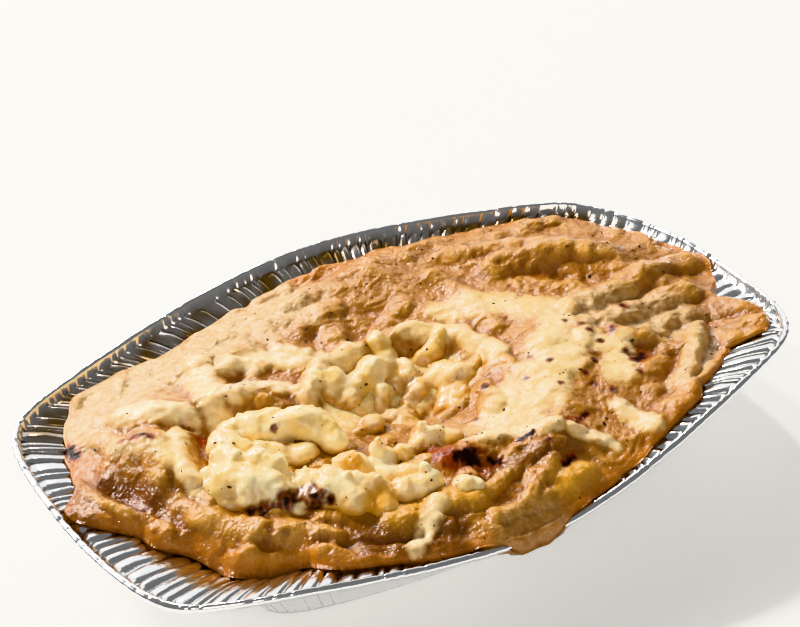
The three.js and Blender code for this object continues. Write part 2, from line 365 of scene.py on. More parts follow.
def foil_height(turn, inset):
    """Height of the foil's inner face, without its pleats."""
    flange = between_sides(FLANGE, turn)
    lip_foot = rim_top(turn) - LIP_HEIGHT
    foot = between_sides(BASE_INSET, turn) - BASE_FILLET
    down = np.clip((inset - flange) / (foot - flange), 0, 1)
    on_wall = (lip_foot - flange * FLANGE_FALL) * (1 - down) + (FOIL + BASE_FILLET) * down
    fall = flange * FLANGE_FALL * np.clip(inset / flange, 0, 1) ** FLANGE_CURVE
    return np.where(inset < flange, lip_foot - fall, on_wall)


print("flange, at the sides and the ends, mm:", between_sides(FLANGE, np.array([0.25, 0.0])).round(1))

# %% [markdown]
# ## Pressed aluminium foil
# The dish is pressed from one flat sheet, and what is left over at the rim gathers into pleats. They
# are uneven: each has its own width, depth and lean. They could be a bump in the material, but the
# foil mirrors the room, and only real facets give its hard white and dark stripes. So each pleat
# is six real columns of faces, from a valley over a sharp crest to the next valley.

# %% Pleats of the foil
PLEAT_PITCH = 4.2
PLEAT_DEPTH = 0.95
BEAD_STEPS = 11
CRIMPS = 110
CRIMP_WIDTH = 0.5
CRUMPLE = 0.5
CRUMPLE_SIZE = 6
DRIFT = 0.35
DRIFT_SIZE = 14
FOIL_SHOWN = 0.3


def even_turns():
    """A function that spreads shares of the rim's length evenly over turns, and that length."""
    fine = np.linspace(0, 1, 4001)
    rim = place_at(fine, np.zeros_like(fine), 0.0)
    length = np.concatenate([[0], np.cumsum(np.linalg.norm(np.diff(rim, axis=0), axis=1))])
    return lambda share: np.interp(share, length / length[-1], fine), length[-1]


def pleat_columns():
    """The turn of each column of points, and how high it stands from -1 in a fold to 1 on a facet."""
    spread, length = even_turns()
    rng = np.random.default_rng(11)
    count = round(length / PLEAT_PITCH)
    width = rng.uniform(0.5, 1.5, count)
    start = np.concatenate([[0], np.cumsum(width)[:-1]]) / width.sum()
    width = width / width.sum()
    fold = rng.uniform(0.10, 0.26, count)
    lean = rng.uniform(-0.35, 0.35, count)
    depth = rng.uniform(0.5, 1.3, count)
    shares = np.stack([fold * 0, fold * 0.5, fold, 0.3 + 0.4 * fold, 0.62 + 0.1 * fold, 1 - 0.6 * fold], 1)
    stands = np.stack([
        fold * 0 - 1, fold * 0 - 0.1, 0.75 - lean, 1 - 0.4 * lean, 1 + 0.4 * lean, 0.7 + lean,
    ], 1)
    columns = spread((start[:, None] + width[:, None] * shares).ravel())
    print(f"{count} pleats round {length:.0f} mm of rim")
    return columns, (stands * depth[:, None]).ravel(), length


def crumple(turn, inset):
    """Soft dents of handled foil, a few tenths of a millimetre deep."""
    dents = CRUMPLE * noise(place_at(turn, inset, 0.0), CRUMPLE_SIZE, 4)
    return dents * smooth_step(inset, 2 * BEAD, 6 * BEAD)


def foil_drift(turn, length):
    """How far the whole foil strays up or down along the rim."""
    along = np.stack([turn * length, turn * 0, turn * 0], -1)
    return noise(along, DRIFT_SIZE, 3) * DRIFT


def pleat_swell(share):
    """How deep the pleats are across the flange, from the lip to the top of the wall."""
    return PLEAT_DEPTH * (0.35 + 0.65 * np.sin(math.pi * np.minimum(share * 0.9 + 0.08, 0.5)))


def foil_section(turn, stand, length):
    """Rows of (inset, height) for each column, up the outside, over the bead and down the inside."""
    flange = between_sides(FLANGE, turn)
    base = between_sides(BASE_INSET, turn)
    top = rim_top(turn)
    drift = foil_drift(turn, length)
    rows = []
    inner = []
    for share in (0.02, 0.12, 0.3, 0.5, 0.7, 0.88, 1.0):
        inner.append((flange * share + 2 * BEAD * (1 - share), stand * pleat_swell(share)))
    for share in (0.2, 0.45, 0.7, 0.9, 1.0):
        on_wall = flange + (base - BASE_FILLET - flange) * share
        inner.append((on_wall, stand * PLEAT_DEPTH * (1 - 0.6 * share)))
    inner = [(inset, foil_height(turn, inset) + fold + crumple(turn, inset)) for inset, fold in inner]
    inner.append((base - BASE_FILLET * 0.4, np.full_like(turn, FOIL + BASE_FILLET * 0.3)))
    inner.append((base + BASE_FILLET * 0.6, np.full_like(turn, FOIL)))
    inner.append((base + 9, np.full_like(turn, FOIL)))
    for inset, height in reversed(inner):
        rows.append((inset, np.maximum(height - FOIL_SHOWN - 0.3 * (height < 1), 0)))
    place = turn * length
    grooves = np.zeros_like(turn)
    for spot in np.random.default_rng(5).uniform(0, length, CRIMPS):
        gap = np.abs((place - spot + length / 2) % length - length / 2)
        grooves += np.exp(-(gap / CRIMP_WIDTH) ** 2)
    radius = BEAD * (1 + 0.05 * stand - 0.2 * np.clip(grooves, 0, 1))
    for angle in np.linspace(-130, 150, BEAD_STEPS):
        across = np.cos(math.radians(angle))
        up = np.sin(math.radians(angle))
        rows.append((BEAD - radius * across, top - BEAD + radius * up))
    rows.extend(inner)
    return [(inset, height + drift * (height > 3)) for inset, height in rows]


# %% [markdown]
# ## What bare foil looks like
# Household foil is nearly pure aluminium, rolled until it shines. It has a bright neutral colour and
# a low roughness, and the rollers leave fine lines in it. Handling leaves soft creases, which break
# up the reflections. A metal keeps the default IOR.

# %% Bright rolled aluminium foil
ROLLING_LINES = 0.4  # real ones are a few hundredths of a millimetre, too fine to show
ROLLING_STRETCH = (0.06, 1.0, 1.0)
CREASE_SIZE = 5
FOIL_GLOSS = (0.10, 0.24)  # roughness of the smoothest and of the most creased foil


def rolled_aluminium_foil():
    """Bright rolled foil: hard reflections, slightly smeared by rolling lines and soft creases."""
    material, tree, shader = new_material("bright_rolled_aluminium_foil")
    place = node(tree, "ShaderNodeTexCoord").outputs["Object"]
    drawn = node(tree, "ShaderNodeMapping", {"Vector": place, "Scale": ROLLING_STRETCH})
    lines = node(tree, "ShaderNodeTexNoise", {
        "Vector": drawn.outputs["Vector"], "Scale": 1 / (ROLLING_LINES * MM),
    })
    crease = node(tree, "ShaderNodeTexNoise", {
        "Vector": place, "Scale": 1 / (CREASE_SIZE * MM), "Detail": 4.0,
    })
    dull = node(tree, "ShaderNodeMapRange", {0: crease.outputs["Fac"], 3: FOIL_GLOSS[0], 4: FOIL_GLOSS[1]})
    fine = node(tree, "ShaderNodeBump", {
        "Height": lines.outputs["Fac"], "Strength": 0.08, "Distance": 0.1 * MM,
    })
    soft = node(tree, "ShaderNodeBump", {
        "Height": crease.outputs["Fac"], "Strength": 0.35, "Distance": 0.5 * MM,
        "Normal": fine.outputs["Normal"],
    })
    baked = node(tree, "ShaderNodeAttribute", attribute_name="baked").outputs["Fac"]
    tint = node(tree, "ShaderNodeMix", {
        0: baked, 6: linear("#e6e7e9"), 7: linear("#94733a"),
    }, data_type="RGBA")
    tree.links.new(tint.outputs[2], shader.inputs["Base Color"])
    shader.inputs["Metallic"].default_value = 1.0
    tree.links.new(dull.outputs[0], shader.inputs["Roughness"])
    tree.links.new(soft.outputs["Normal"], shader.inputs["Normal"])
    return material


# %% [markdown]
# ## The dish from rows and columns
# The section gives rows and the pleats give columns, so the dish could be a lathe with a bump. A
# lathe is round, though, and this plan isn't, so each row is laid round the plan by itself and
# joined to the next. The outside is one foil's thickness behind the inside. A mark keeps where fat
# baked on, for the colour.

# %% Foil dish
def baked_fat(points, inset):
    """Where fat browned on the inside of the foil: along the far side, in uneven runs."""
    far = smooth_step(points[:, 1], 20, 45)
    patchy = smooth_step(noise(points, 9, 12) + 0.5 * noise(points, 3, 13), -0.5, 0.6)
    return far * smooth_step(inset, 1.5 * BEAD, 3 * BEAD) * (0.35 + 0.65 * patchy)


pleats = pleat_columns()


def pleated_flange(turn, inset):
    """Height of the flange's inner face with its pleats, dents and drift."""
    columns, stands, length = pleats
    flange = between_sides(FLANGE, turn)
    share = np.clip((inset - 2 * BEAD) / (flange - 2 * BEAD), 0, 1)
    fold = np.interp(turn, columns, stands, period=1) * pleat_swell(share)
    return foil_height(turn, inset) + fold + crumple(turn, inset) + foil_drift(turn, length)


def make_foil_dish():
    turn, stand, length = pleats
    rows = foil_section(turn, stand, length)
    columns = len(turn)
    grid = np.stack([place_at(turn, inset, height) for inset, height in rows])
    insets = np.concatenate([inset for inset, height in rows])
    inside = np.arange(len(insets)) >= (len(rows) + BEAD_STEPS) // 2 * columns
    points = grid.reshape(-1, 3)
    faces = []
    for row in range(len(rows) - 1):
        for column in range(columns):
            after = (column + 1) % columns
            faces.append((row * columns + column, row * columns + after,
                          (row + 1) * columns + after, (row + 1) * columns + column))
    faces.append(tuple(range(columns))[::-1])
    last = (len(rows) - 1) * columns
    faces.append(tuple(last + column for column in range(columns)))
    marks = {"baked": baked_fat(points, insets) * inside}
    return make_piece("foil_tray", points, faces, rolled_aluminium_foil(), marks)


foil_tray = make_foil_dish()
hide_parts("foil_dish")

# %% [markdown]
# ## How high the crust stands
# The crust is a height over the table, as for a landscape. A low dome comes first, then the large
# folds that can be named: the hollow where a portion was spooned out, the rolls of skin round it
# and the ridges towards the rim. Each is a smooth hill or dip with two half-widths.

# %% Large folds
FOOD_INSET = (
    3, 5, 7, 8, 9, 9, 9, 11, 12, 8, 15, 12,
    4, 17, 26, 25, 9, 3.5, 3.5, 4, 8, 16, 20, 11,
)
FOOD_LEVEL = 29.5
FOOD_DOME = 4.5
EDGE_ROUNDING = (7, 7, 7, 7, 8, 9, 8, 8, 7, 8, 8, 7, 7, 7, 6, 6, 6, 6, 6, 6, 5, 6, 6, 7)
EDGE_THICKNESS = 1.3
EDGE_SPANS = {  # turn, how far in from the rim, rounding: where the food ran out further
    "dough_tongue": (
        (0.894, 18, 5), (0.900, 7, 3.5), (0.912, 4.2, 3), (0.931, 5, 3), (0.948, 10, 4), (0.962, 11, 7),
    ),
    "sauce_over_rim": (
        (0.700, 4.1, 7), (0.712, 2.8, 8), (0.724, 0.6, 9), (0.733, -1.0, 9), (0.745, -1.2, 9), (0.757, 0, 9),
        (0.770, 2.0, 8), (0.790, 4.0, 7),
    ),
}
FOOD_OVER_FOIL = 2.3
BEAD_CLEARANCE = 1.0
FOLDS = {  # middle x and y, rise, half-length, half-width, turn in degrees
    "spooned_out_hollow": (-1, -2, -13, 24, 19, 20),
    "left_lump": (-80, 9, 6, 13, 9, 60),
    "left_valley": (-91, -1, -3, 8, 6, 0),
    "left_edge_roll": (-101, -2, 4, 11, 5, 110),
    "roll_round_pale_clumps": (-74, -12, 3.2, 19, 8, -62),
    "near_left_roll": (-63, -44, 2.5, 20, 6, -34),
    "melted_cheese_tongue": (-59, 18, 4, 22, 7, -20),
    "hollow_behind_clumps": (-52, 6, -3, 12, 5, -15),
    "far_left_fold": (-47, 34, 3, 26, 9, 22),
    "far_fold": (12, 46, 3, 34, 10, 4),
    "far_right_roll": (68, 29, 4, 24, 8, -28),
    "right_roll": (86, 0, 4, 18, 7, -52),
    "right_furrow": (72, 12, -3, 20, 5, -38),
    "cheese_blanket": (45, -16, 2.5, 28, 20, 30),
    "near_right_roll": (74, -40, 4, 14, 6, 58),
    "charred_ridge": (-8, -38, 4, 15, 5, -18),
    "slanted_ridge": (14, -48, 3, 20, 5, 38),
}


def crust_base(x, y):
    """Height of the crust with its large folds only."""
    out = np.clip(np.hypot(x / ALONG, y / ACROSS), 0, 1)
    height = FOOD_LEVEL + FOOD_DOME * (1 - out ** 2)
    for fold_x, fold_y, rise, long, wide, turn in FOLDS.values():
        turn = math.radians(turn)
        along = (x - fold_x) * math.cos(turn) + (y - fold_y) * math.sin(turn)
        across = (y - fold_y) * math.cos(turn) - (x - fold_x) * math.sin(turn)
        height = height + rise * np.exp(-(along / long) ** 2 - (across / wide) ** 2)
    return height


print(f"{len(FOLDS)} folds; crust in the middle of the hollow at {float(crust_base(-1.0, -2.0)):.1f} mm")

# %% [markdown]
# ## Spaetzle under the skin
# Below the browned skin lie short knobbly noodles, and each pushes up a rounded roll. Where two
# meet, sauce fills the gap, so heights are joined with a rounded maximum instead of a hard one.
# Most noodles are strewn by a seeded rule, and the rolls that can be picked out each have a line.

# %% Rolls and noodles under the skin
ROLLS = {  # points of the line, radius, how far it stands out of the crust
    "left_lump": (((-86, 13), (-82, 11), (-79, 4), (-80, -2)), 5, 2.6),
    "left_small_lump": (((-88, 24), (-86, 18)), 3.5, 2.2),
    "valley_crest": (((-101, 12), (-98, 0), (-94, -11), (-90, -18)), 3.6, 2.4),
    "corner_roll": (((-107, 0), (-104, -7), (-98, -17)), 4.0, 2.0),
    "clump_roll": (((-76, 8), (-81, 1), (-84, -6), (-83, -14), (-78, -24), (-70, -34)), 4.0, 2.0),
    "clump_roll_inner": (((-69, 8), (-74, 0), (-76, -8)), 4.5, 3.0),
    "near_noodle": (((-68, -31), (-62, -37), (-54, -46)), 3.6, 2.4),
    "near_band": (((-92, -27), (-79, -40), (-64, -50), (-47, -61), (-25, -66)), 6, 1.8),
    "golden_lump": (((-21, -50), (-15, -53)), 6, 2.8),
    "orange_lump": (((-37, -49), (-25, -50)), 5.5, 2.8),
    "yellow_lump": (((9, -61), (17, -59)), 5.2, 2.2),
    "slanting_first": (((-10, -53), (0, -50), (10, -48)), 2.6, 2.2),
    "slanting_second": (((-3, -61), (5, -57), (11, -54)), 2.4, 2.2),
    "slanting_third": (((-13, -61), (-3, -62), (6, -63)), 2.8, 1.6),
    "slanting_fourth": (((2, -46), (14, -43), (25, -46)), 3.2, 1.8),
    "far_right_roll": (((58, 0), (76, 1), (92, 3), (103, 2)), 6, 3.4),
    "far_right_second": (((50, 30), (68, 26), (86, 18)), 6, 2.4),
    "far_right_third": (((40, 44), (60, 40), (78, 30)), 5, 1.8),
    "right_inner_roll": (((62, -11), (76, -10), (91, -12)), 5, 2.6),
    "right_crest": (((60, -46), (68, -41), (76, -34), (84, -27)), 3.6, 3.2),
    "right_crest_second": (((66, -24), (76, -19), (86, -19)), 4.5, 2.2),
    "right_drips": (((64, -50), (72, -48), (79, -45)), 3, 1.8),
    "hollow_far_rim": (((-30, 8), (-18, 16), (-2, 20), (14, 18)), 5, 2.8),
    "hollow_right_rim": (((20, 12), (27, 2), (25, -10)), 5, 2.2),
    "hollow_floor_left": (((-16, 2), (-5, 7)), 4, 2.4),
    "hollow_floor_middle": (((-2, -4), (9, 2)), 4.2, 2.4),
    "hollow_floor_near": (((-13, -10), (-2, -14), (8, -12)), 3.8, 2.2),
    "far_left_roll": (((-68, 33), (-52, 41), (-36, 44)), 5, 1.6),
    "far_middle_roll": (((-14, 46), (8, 52), (30, 50)), 5, 1.8),
    "small_blob": (((-14, -47), (-12, -46)), 3, 2.4),
    "tongue_far_half": (((85, -19), (96, -23), (104, -32)), 6, 1.0),
    "tongue_near_half": (((88, -31), (94, -35), (99, -39)), 5, 1.0),
    "flat_noodle": (((-63, -33), (-57, -37), (-51, -39)), 4.6, 2.6),
    "right_lobe": (((60, -50), (68, -53), (72, -55)), 4.5, 2.4),
}
STREWN = 95
STREWN_APART = 9
STREWN_LENGTH = (8, 20)
STREWN_RADIUS = (3.4, 6.5)
STREWN_PROUD = (0.2, 1.9)
SAUCE_FILL = 1.6
GROOVES = {  # points of the line, depth, half-width
    "near_crease": (((-104, -13), (-95, -23), (-78, -34), (-63, -44), (-45, -53), (-34, -57)), 1.6, 1.5),
    "tongue_crease": (((85, -24), (93, -27), (100, -34)), 1.0, 1.8),
    "tongue_root": (((83, -34), (86, -29), (90, -24)), 0.9, 1.6),
    "round_the_clumps": (((-74, -20), (-66, -31), (-56, -36)), 1.2, 1.6),
}


def distance_to_line(x, y, line):
    """Distance of each place in plan from a line of straight stretches."""
    best = np.full(np.shape(x), np.inf)
    for (x0, y0), (x1, y1) in zip(line, line[1:]):
        step = np.array([x1 - x0, y1 - y0], float)
        share = np.clip(((x - x0) * step[0] + (y - y0) * step[1]) / (step @ step), 0, 1)
        best = np.minimum(best, np.hypot(x - x0 - share * step[0], y - y0 - share * step[1]))
    return best


def higher(first, second, blend):
    """The higher of two surfaces, with sauce rounding over the line where they meet."""
    share = np.clip(0.5 + 0.5 * (first - second) / blend, 0, 1)
    return second + (first - second) * share + blend * share * (1 - share)


def strewn_noodles():
    """Short bent lines at seeded places inside the dish, none too near another's middle."""
    rng = np.random.default_rng(21)
    placed = []
    lines = []
    while len(lines) < STREWN:
        turn = rng.uniform(0, 1)
        out = rng.uniform(0, 0.9)
        lean = rng.uniform(0, math.pi)
        bend = rng.normal(0, 0.4)
        length = rng.uniform(*STREWN_LENGTH)
        radius = rng.uniform(*STREWN_RADIUS)
        proud = rng.uniform(*STREWN_PROUD)
        aim, reach = rim_ray(turn)
        middle = aim * reach * math.sqrt(out)
        if all(np.hypot(*(middle - other)) > STREWN_APART for other in placed):
            placed.append(middle)
            ways = (lean, lean + math.pi + bend)
            arms = [length / 2 * np.array([math.cos(way), math.sin(way)]) for way in ways]
            lines.append(((tuple(middle + arms[0]), tuple(middle), tuple(middle + arms[1])), radius, proud))
    return lines


def add_roll(height, base, points, roll, seed):
    """The crust's height with one more roll pushed up through it."""
    line, radius, proud = roll
    x, y = points[:, 0], points[:, 1]
    low = np.min(line, axis=0) - radius * 1.4
    high = np.max(line, axis=0) + radius * 1.4
    near = (x > low[0]) & (x < high[0]) & (y > low[1]) & (y < high[1])
    uneven = radius * (1 + 0.16 * noise(points[near], 5, seed))
    under = uneven ** 2 - distance_to_line(x[near], y[near], line) ** 2
    top = base[near] + proud - radius + np.sqrt(np.maximum(under, 0))
    height[near] = np.where(under > 0, higher(top, height[near], SAUCE_FILL), height[near])
    return height


print(f"{len(ROLLS)} rolls with a line of their own, {STREWN} strewn noodles, {len(GROOVES)} grooves")

# %% [markdown]
# ## Cheese melted over the top
# Grated cheese melts into pale sheets and strands that lie on the browned skin. Each is a line with
# a half-width: near the line the surface is raised and pale, and at the edge it thins out.

# %% Melted cheese
MELTS = {  # points of the line, half-width, how thick it lies
    "wide_blanket": (((10, -33), (28, -24), (42, -14)), 13, 1.0),
    "blanket_far_half": (((40, -12), (48, -4), (53, 4)), 7.5, 0.6),
    "blanket_far_arm": (((50, 4), (40, 16), (26, 21)), 8, 0.6),
    "blanket_right_arm": (((48, -14), (58, -24), (50, -32)), 7, 0.8),
    "cream_band": (((-3, -35), (7, -38), (18, -43)), 4.8, 1.5),
    "left_strand": (((-79, 25), (-71, 19), (-63, 14)), 5.8, 2.2),
    "tan_clump": (((-72, 8), (-76, 0), (-77, -11)), 5, 0.8),
    "left_sheet": (((-51, 33), (-54, 23), (-57, 12)), 6.5, 1.6),
    "specked_strand": (((-50, 15), (-42, 18), (-33, 12)), 4.6, 2.2),
    "far_sheet": (((-43, 29), (-31, 28), (-19, 20)), 6.5, 1.6),
    "right_oval": (((41, -45), (43, -55)), 4.6, 1.3),
    "slanting_shred": (((22, -47), (27, -50), (30, -56)), 3.2, 1.4),
    "near_shred": (((-25, -51), (-31, -55), (-38, -60)), 3.6, 1.4),
    "hollow_lining": (((-22, 0), (-6, 6), (12, 2)), 13, 0.4),
    "hollow_rim_left": (((-30, 6), (-22, 14), (-8, 19)), 5, 1.0),
    "hollow_rim_right": (((12, 20), (24, 10), (26, -4)), 6, 1.0),
}


def melted_cheese(x, y):
    """How much cheese covers each place, from 0 to 1, and how thick it lies."""
    flat = np.stack([x, y, np.zeros_like(x)], -1)
    ragged = noise(flat, 6, 31) * 2.2 + noise(flat, 2.5, 32) * 0.9
    cover = np.zeros_like(x)
    thick = np.zeros_like(x)
    for line, half, lies in MELTS.values():
        out = (distance_to_line(x, y, line) + ragged * min(1, half / 8)) / half
        cover = np.maximum(cover, 1 - smooth_step(out, 0.3, 1.2))
        thick = np.maximum(thick, lies * np.clip(1 - out ** 2, 0, 1) ** 1.3)
    return cover, thick


print(f"{len(MELTS)} places with melted cheese")

# %% [markdown]
# ## Browned and burnt places
# Under the grill, high points brown first and a few turn black. Each place is a short line with a
# radius: around it the crust goes from red-brown to black in the middle.

# %% Browned and burnt places
BURNS = {  # points of the line, radius of the red-brown, share of it that is black
    "left_flake": (((-95, 30), (-95, 23)), 3.0, 0.6),
    "left_lump_tip": (((-85, 13), (-79, 8)), 2.2, 0.25),
    "small_left": (((-65, 7), (-63, 4)), 2.4, 0.0),
    "red_band": (((-16, -32), (-13, -38), (-8, -42)), 6.0, 0.0),
    "black_core": (((-10, -40), (-8, -42)), 4.0, 0.8),
    "black_beside": (((-3, -44), (-2, -45)), 2.2, 0.6),
    "black_slit": (((6, -43), (11, -43)), 1.5, 0.7),
    "golden_tip": (((-16, -47), (-13, -47)), 1.6, 0.8),
    "orange_streak": (((-37, -45), (-30, -43)), 1.2, 0.8),
    "yellow_tip": (((12, -56), (17, -54)), 1.6, 0.5),
    "blister_far": (((69, -8), (69, -9)), 2.4, 0.5),
    "blister_far_small": (((60, -15), (59, -17)), 1.6, 0.3),
    "blister_pair_left": (((57, -26), (57, -27)), 2.0, 0.7),
    "blister_pair_right": (((61, -28), (58, -30)), 3.0, 0.6),
    "blister_middle": (((46, -25), (46, -25.5)), 1.9, 0.7),
    "near_right_burn": (((31, -42), (22, -44)), 1.6, 0.3),
}
BLISTERS = {  # radius, then the middle of each: small bubbles of cheese that burnt
    "blanket": (1.8, (
        (53, -19), (53, -14), (50, -6), (53, -10), (62, -8), (34, -20), (40, -33), (31, -29), (40, -29),
        (43, -38), (25, -21), (32, -14), (15, -5), (15, -15), (5, -25), (54, -36), (25, -45), (13, -48),
    )),
    "specked_strand": (0.8, (
        (-50, 15.5), (-48.4, 16.8), (-47, 17.8), (-45.2, 18.2), (-43.4, 18.8), (-41.6, 18.6), (-40, 18.2),
        (-45.8, 15.4),
    )),
}


def browning(x, y):
    """How red-brown and how black each place is, from 0 to 1."""
    flat = np.stack([x, y, np.zeros_like(x)], -1)
    ragged = noise(flat, 2.6, 41) * 0.45 + noise(flat, 1.1, 42) * 0.35
    toast = np.zeros_like(x)
    black = np.zeros_like(x)
    for line, radius, core in BURNS.values():
        out = distance_to_line(x, y, line) / radius + ragged
        toast = np.maximum(toast, 1 - smooth_step(out, 0.35, 1.1))
        if core:
            black = np.maximum(black, 1 - smooth_step(out / core, 0.5, 1.0))
    for radius, middles in BLISTERS.values():
        for blister_x, blister_y in middles:
            out = np.hypot(x - blister_x, y - blister_y) / radius + ragged * 0.6
            toast = np.maximum(toast, 0.9 * (1 - smooth_step(out, 0.4, 1.1)))
            black = np.maximum(black, 0.85 * (1 - smooth_step(out, 0.2, 0.75)))
    return toast, black


print(f"{len(BURNS)} burns and {sum(len(middles) for radius, middles in BLISTERS.values())} blisters")

# %% [markdown]
# ## The skin as a grid over a disc
# The skin needs points about half a millimetre apart everywhere. A lathe would crowd them in the
# middle, so a square grid is bent into a disc, which keeps them even, and the disc is stretched to
# the outline of the food. The underside follows the foil with a few wide rings.

# %% Grid of the skin
SKIN_CELLS = 300
SHELF = 2
UNDER_GAP = 0.2
OVER_PLEATS = 2.4
FLANGE_RINGS = (  # share of the way in, height over the foil
    (0.25, 1.5), (0.5, 1.8), (0.75, 2.1), (1.0, OVER_PLEATS),
)


def disc_grid(cells):
    """A square grid bent into a disc: the turn and the share of the radius of each point."""
    line = np.linspace(-1, 1, cells + 1)
    a, b = np.meshgrid(line, line, indexing="ij")
    wide = np.abs(a) > np.abs(b)
    radius = np.where(wide, a, b)
    safe = np.where(radius == 0, 1, radius)
    angle = np.where(wide, math.pi / 4 * b / safe, math.pi / 2 - math.pi / 4 * a / safe)
    angle = np.where(radius == 0, 0, angle)
    return np.mod(np.arctan2(radius * np.sin(angle), radius * np.cos(angle)) / FULL, 1), np.abs(radius)


def food_edge(turn):
    """How far in from the rim the food ends, with an uneven outline, and how round its edge is."""
    aim, reach = rim_ray(turn)
    ring = np.concatenate([aim * reach[..., None], np.zeros_like(reach)[..., None]], -1).reshape(-1, 3)
    uneven = (noise(ring, 9, 51) * 1.4 + noise(ring, 4, 52) * 0.3).reshape(np.shape(turn))
    inset = np.maximum(around(FOOD_INSET, turn) + uneven, 2.6)
    rounding = around(EDGE_ROUNDING, turn)
    for span in EDGE_SPANS.values():
        turns, insets, roundings = zip(*span)
        inside = (turn > turns[0]) & (turn < turns[-1])
        inset = np.where(inside, np.interp(turn, turns, insets) + 0.5 * uneven, inset)
        rounding = np.where(inside, np.interp(turn, turns, roundings), rounding)
    return inset, rounding


def carrier_height(turn, inset):
    """Height of what carries the food: the foil, its rolled bead, and a drop just past the bead."""
    on_bead = rim_top(turn) - BEAD + np.sqrt(np.clip(BEAD ** 2 - (inset - BEAD) ** 2, 0, None))
    on_foil = foil_height(turn, np.maximum(inset, 0))
    share = smooth_step(inset, BEAD, 4 * BEAD)
    return on_bead * (1 - share) + on_foil * share - 2.5 * smooth_step(-inset, -0.4, 1.6)


def crust_surface(x, y, carried):
    """Height of the crust with folds, rolls and cheese, how much cheese covers it and how thick."""
    points = np.stack([x, y, np.zeros_like(x)], -1)
    base = higher(crust_base(x, y), carried, 2.0)
    height = base.copy()
    for seed, roll in enumerate(strewn_noodles() + list(ROLLS.values())):
        height = add_roll(height, base, points, roll, 100 + seed)
    for line, depth, width in GROOVES.values():
        height = height - depth * np.exp(-(distance_to_line(x, y, line) / width) ** 2)
    cover, thick = melted_cheese(x, y)
    return height + thick, cover, thick


def skin_top():
    """Places, heights and marks of the top of the food, on the bent grid."""
    turn, share = (values.ravel() for values in disc_grid(SKIN_CELLS))
    aim, reach = rim_ray(turn)
    edge, rounding = food_edge(turn)
    radius = (reach - edge) * share
    x = aim[:, 0] * radius
    y = aim[:, 1] * radius
    inset = reach - radius
    over_foil = EDGE_THICKNESS + (FOOD_OVER_FOIL - EDGE_THICKNESS) * smooth_step(inset, 1, 9)
    height, cover, thick = crust_surface(x, y, carrier_height(turn, inset) + over_foil)
    inward = (reach - edge) * (1 - share)
    rise = (1 - (1 - np.minimum(inward / rounding, 1)) ** 2) ** 0.6
    edge_height = carrier_height(turn, edge) + EDGE_THICKNESS * smooth_step(edge, 0, 2)
    height = edge_height * (1 - rise) + height * rise
    height = np.maximum(height, carrier_height(turn, inset) + BEAD_CLEARANCE * smooth_step(inward, 0, 1.0))
    return turn, share, edge, inward, np.stack([x, y, height], -1), cover, thick


def grid_normals(points, cells):
    grid = points.reshape(cells + 1, cells + 1, 3)
    normal = np.cross(np.gradient(grid, axis=0), np.gradient(grid, axis=1)).reshape(-1, 3)
    normal *= np.sign(normal[:, 2:3] + 1e-9)
    return normal / np.maximum(np.linalg.norm(normal, axis=1, keepdims=True), 1e-9)


def blurred(values, cells, passes):
    """A grid of values averaged with its neighbours, this many times."""
    grid = values.reshape(cells + 1, cells + 1)
    for _ in range(passes):
        padded = np.pad(grid, 1, mode="edge")
        grid = (padded[:-2, 1:-1] + padded[2:, 1:-1] + padded[1:-1, :-2] + padded[1:-1, 2:]) / 4
    return grid.ravel()


print(f"grid of the skin: {SKIN_CELLS} by {SKIN_CELLS} cells")

# %% [markdown]
# ## Wrinkles of the skin
# As the sauce dries, its skin wrinkles and small bubbles set in it. These are too coarse for a bump
# in the material, because they catch light on their sides, so they move the points along the
# surface's own direction. Cheese stays smoother than sauce.

# %% Wrinkles
LUMPS = ((13, 1.2), (5.5, 0.36), (2.7, 0.18), (1.5, 0.07))  # size across and height
RIPPLE = (1.8, 7, 0.22)  # size across, size along, height
CREST_SIZE = 8
CREST_HEIGHT = 0.3
CREST_FROM = 0.72


def wrinkled(points, normal, cover, inward):
    """The points moved in and out by rounded lumps, by drawn-out ripples and by a few thin crests."""
    warp = np.stack([noise(points, 9, 61), noise(points, 9, 62), noise(points, 9, 63)], -1) * 3
    calm = smooth_step(inward, 0.0, 3.0)
    move = np.zeros(len(points))
    for order, (size, height) in enumerate(LUMPS):
        move += height * noise(points + warp, size, 64 + order) * (1 - cover * (0.1 + 0.12 * order))
    lean = 0.6 + 1.6 * noise(points, 40, 72)
    along = points[:, 0] * np.cos(lean) + points[:, 1] * np.sin(lean)
    across = points[:, 1] * np.cos(lean) - points[:, 0] * np.sin(lean)
    drawn = np.stack([along / RIPPLE[1], across / RIPPLE[0], points[:, 2] / RIPPLE[1]], -1)
    some = smooth_step(noise(points, 20, 71), -0.3, 0.3)
    move += RIPPLE[2] * noise(drawn, 1.0, 73) * some * (1 - 0.8 * cover)
    crest = smooth_step(ridges(points + warp, CREST_SIZE, 70), CREST_FROM, 1.0)
    move += CREST_HEIGHT * crest * some * (1 - 0.9 * cover)
    return points + normal * (move * calm)[:, None]


